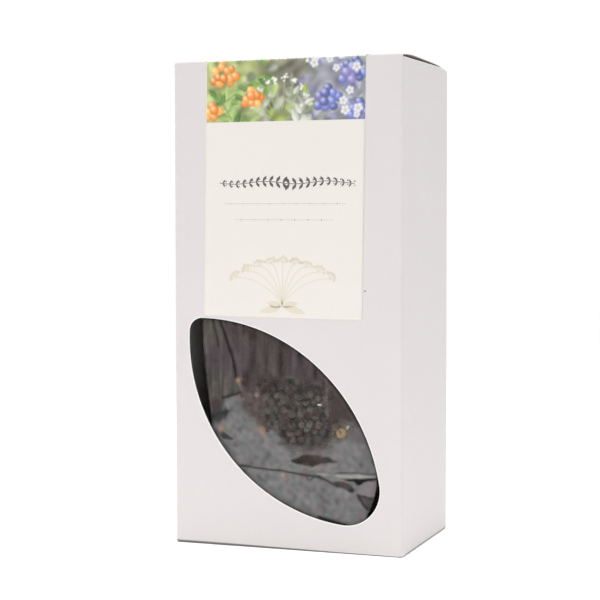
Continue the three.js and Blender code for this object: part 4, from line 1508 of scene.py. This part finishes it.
def bag_ring(loop_x, loop_y, z):
    """Points of the bag at one height each. loop_x and loop_y run round a unit square, and
    a high power of them softens its corners. Below, the block bottom draws in; above the
    shoulder, the front and back close and the sides tuck in."""
    drop = np.clip((bag_low.z + BAG_BLOCK_HALF - z) / BAG_BLOCK_HALF, 0, 1)
    draw_in = (1 - np.minimum(drop, 0.9999) ** BLOCK_POWER) ** (1 / BLOCK_POWER)
    power = FILM_CORNER_POWER
    size = (np.abs(loop_x) ** power + np.abs(loop_y) ** power) ** (1 / power)
    closing = soft_step(z, BAG_SHOULDER, BAG_SEAL_BASE)
    half_y = mix(BAG_HALF_Y, BAG_SEAL_HALF, closing)
    side = (np.abs(loop_x) >= 1).astype(float)
    tuck = BAG_TUCK * np.sin(math.pi * closing) * side * (1 - np.abs(loop_y))
    left, right = ((edge + CARTON_LEFT) * MM for edge in bag_sides(z / MM))
    centre, half = (left + right) / 2, (right - left) / 2
    return xyz(centre + half * draw_in * loop_x / size - np.sign(loop_x) * tuck,
               BAG_CENTRE_Y + half_y * draw_in * loop_y / size, z)


def square_loop(front, side, back):
    """Points round a unit square, anticlockwise from its front left corner, with a count
    for the front, for each side and for the back."""
    front_run, side_run, back_run = (np.linspace(-1, 1, count, endpoint=False)
                                     for count in (front, side, back))
    return (np.concatenate([front_run, np.ones(side), -back_run, -np.ones(side)]),
            np.concatenate([-np.ones(front), side_run, np.ones(back), -side_run]))


def film_material():
    """Clear film: its tint and cover are the piece's own, both crinkled finely. Where it
    clings it is nearly invisible, and it shines softly all over."""
    material, shader, spot = new_material("clear_film")
    crinkle = spot.noise(260, 5, 0.6, 0.8)
    spread = crinkle - 0.5
    bright = (spread * 0.35 + 1.0).grey()
    finish_material(shader, blend(1.0, stored_colour(spot, "film_tint"), bright, "MULTIPLY"),
                    crinkle.ramp(0.3, 0.7, 0.14, 0.32), crinkle, 0.4 * MM, 0.5, 0.12)
    share = stored_colour(spot, "film_cover").split("SeparateColor")[0]
    feed(shader.inputs["Alpha"], (spread * 0.10).calculate("ADD", share, use_clamp=True))
    return material


def bag_surface():
    """The film before it is pressed in: rings of points from the floor up to the seal, lying
    closest in the foot's curve, and each point's place round the unit square."""
    loop_x, loop_y = square_loop(*BAG_LOOP)
    foot = bag_low.z + 0.02 * MM + 6 * MM * np.linspace(0, 1, 14) ** 2
    heights = np.concatenate([foot, np.arange(foot[-1] + BAG_STEP, BAG_SHOULDER, BAG_STEP),
                              np.linspace(BAG_SHOULDER, BAG_SEAL_BASE, 40), [bag_high.z]])
    ring_z, ring_x = np.meshgrid(heights, loop_x, indexing="ij")
    ring_y = np.broadcast_to(loop_y, ring_z.shape)
    return bag_ring(ring_x, ring_y, ring_z), ring_x, ring_y


def film_room(x, z, ahead):
    """How far in the front film can lie before it meets the berries or a stalk bit. It sags
    only a little into the gaps between the berries."""
    rest = blur(np.minimum(ahead, 3.0), 1.6)
    room = np.minimum(sample(rest, x, z) - 0.25, sample(ahead, x, z) - 0.1)
    for seen_x, seen_z, *_, reach in STALKS:
        across, up = along_sight(seen_x, seen_z, PANEL_FACE, STALK_FACE)
        room = np.minimum(room, np.hypot(x - across, z - up) - reach * 0.9)
    return room


def bag_colours(film, x, depth, z, front):
    """The film's tint and cover all round: as front_film says on the front, painted dim as the
    shade inside the carton and clouded on the other sides, and clear with faint folds above
    the shoulder."""
    dim = soft_step(1 - front, 0, 0.8)
    clouds = 1 + 0.2 * rough_waves(depth + x, z, 16, 20, 4)
    tint = cover(film.tint, dim, linear(*SIDE_SHADE_TONE) * clouds[..., None])
    folds = rough_waves(x + 0.5 * depth, z * 0.2, 18, 9, 2.2)
    clear = soft_step(z, BAG_SHOULDER / MM - 2, BAG_SHOULDER / MM + 10)
    tint = cover(tint, clear, linear(*CLEAR_TONE) * (1 + 0.25 * folds)[..., None])
    return tint, mix(mix(film.cover, SIDE_COVER, dim),
                     CLEAR_COVER + 0.12 * np.abs(folds), clear)


def make_bag():
    """The film, pressed in on the front as front_film says, but never past the berries, and
    drawn towards its middle by loose folds on the other sides. The marks are found twice,
    since a mark is seen in another place once the film under it is pressed in."""
    points, ring_x, ring_y = bag_surface()
    x, depth, z = np.moveaxis(points / MM, -1, 0)
    x = x - CARTON_LEFT
    ahead = berry_relief()
    over_berry = soft_step(3.2 - sample(ahead, x, z), 0, 2.4)
    room = film_room(x, z, ahead)
    inward = 0.6
    for _ in range(2):
        seen = along_sight(x, z, bag_low.y / MM + inward, PANEL_FACE)
        film = front_film(*seen, over_berry)
        inward = np.clip(np.minimum(film.inward, room), 0.05, 1.6)
    front = soft_step(-ring_y, 0.97, 1.0) * soft_step(1 - np.abs(ring_x), 0, 0.04)
    still_open = 1 - soft_step(points[..., 2], BAG_SHOULDER, BAG_SEAL_BASE)
    loose = 0.6 + 0.6 * rough_waves(depth + x, z * 0.3, 15, 22, 5)
    inset = mix(loose, inward, front) * still_open * MM
    shrink = np.where(ring_y > -1, 1 - inset / (24 * MM), 1)
    points[..., 0] = mix(BAG_CENTRE_X, points[..., 0], shrink)
    points[..., 1] = np.where(ring_y > -1, mix(BAG_CENTRE_Y, points[..., 1], shrink),
                              points[..., 1] + inward * front * still_open * MM)
    tint, covers = bag_colours(film, x, depth, z, front)
    piece = make_piece("bag_film", points, tube_faces(*ring_y.shape)[:-1], film_material(),
                       "carton", "clear_film")
    paint_points(piece, "film_tint", np.clip(tint, 0.002, 0.9))
    paint_points(piece, "film_cover", np.repeat(np.clip(covers, 0.04, 0.98)[..., None], 3, -1))
    return piece


bag_film = make_bag()
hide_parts("inner_bag")


# --- Floor, light and camera ---------------------------------------------------------
# A plain pale floor, soft white light from all round, a broad soft lamp overhead that
# brightens the floor, a weak one at the front left, and a long lens at two thirds height.

FLOOR_REACH = 2.0
SKY_STRENGTH = 1.03


def make_floor():
    """A flat square, far wider than the camera sees."""
    points = [(x * FLOOR_REACH, y * FLOOR_REACH, 0) for x, y in
              ((-1, -1), (1, -1), (1, 1), (-1, 1))]
    mesh = bpy.data.meshes.new("floor")
    mesh.from_pydata(points, [], [(0, 1, 2, 3)])
    material, shader, spot = new_material("floor_white")
    white = spot.noise(30).ramp(0.3, 0.7, 0.985, 0.993).grey()
    for name, value in (("Base Color", white), ("Roughness", 0.9), ("Specular IOR Level", 0.1)):
        feed(shader.inputs[name], value)
    mesh.materials.append(material)
    floor = bpy.data.objects.new("floor", mesh)
    bpy.context.scene.collection.objects.link(floor)


def add_lamp(name, position, target, size, power, spread=math.pi):
    """A square soft lamp that faces a target, its light held within an angle of spread."""
    lamp = bpy.data.lights.new(name, "AREA")
    lamp.shape = "SQUARE"
    lamp.size = size
    lamp.energy = power
    lamp.spread = spread
    holder = bpy.data.objects.new(name, lamp)
    bpy.context.scene.collection.objects.link(holder)
    facing = Vector(target) - Vector(position)
    holder.location = position
    holder.rotation_euler = facing.to_track_quat("-Z", "Y").to_euler()


make_floor()
world = bpy.data.worlds.new("studio")
world.use_nodes = True
sky = world.node_tree.nodes["Background"]
sky.inputs["Color"].default_value = (1.0, 1.0, 1.0, 1)
sky.inputs["Strength"].default_value = SKY_STRENGTH
bpy.context.scene.world = world
add_lamp("floor_pool", (0.0, -0.1, 3.0), (0, -0.1, 0), 0.6, 1.3, math.radians(24))
add_lamp("front_left", (-0.7, -1.1, 0.08), (0, 0, 0.04), 0.5, 1.6)

CAMERA_TURN = math.radians(20.024)
CAMERA_DIP = math.radians(2.521)
CAMERA_ROLL = math.radians(-0.078)
CAMERA_SENSOR = 36
FOCAL_PIXELS = 1579
PICTURE_PIXELS = 600
camera_data = bpy.data.cameras.new("camera")
camera_data.lens = CAMERA_SENSOR * FOCAL_PIXELS / PICTURE_PIXELS
camera_data.sensor_width = CAMERA_SENSOR
camera_data.clip_start = 0.01
camera = bpy.data.objects.new("camera", camera_data)
camera.matrix_world = (Matrix.Translation(CAMERA_PLACE) @ Matrix.Rotation(CAMERA_TURN, 4, "Z")
                       @ Matrix.Rotation(math.pi / 2 - CAMERA_DIP, 4, "X")
                       @ Matrix.Rotation(CAMERA_ROLL, 4, "Z"))
bpy.context.scene.collection.objects.link(camera)
bpy.context.scene.camera = camera
bpy.context.scene.view_settings.view_transform = "Standard"
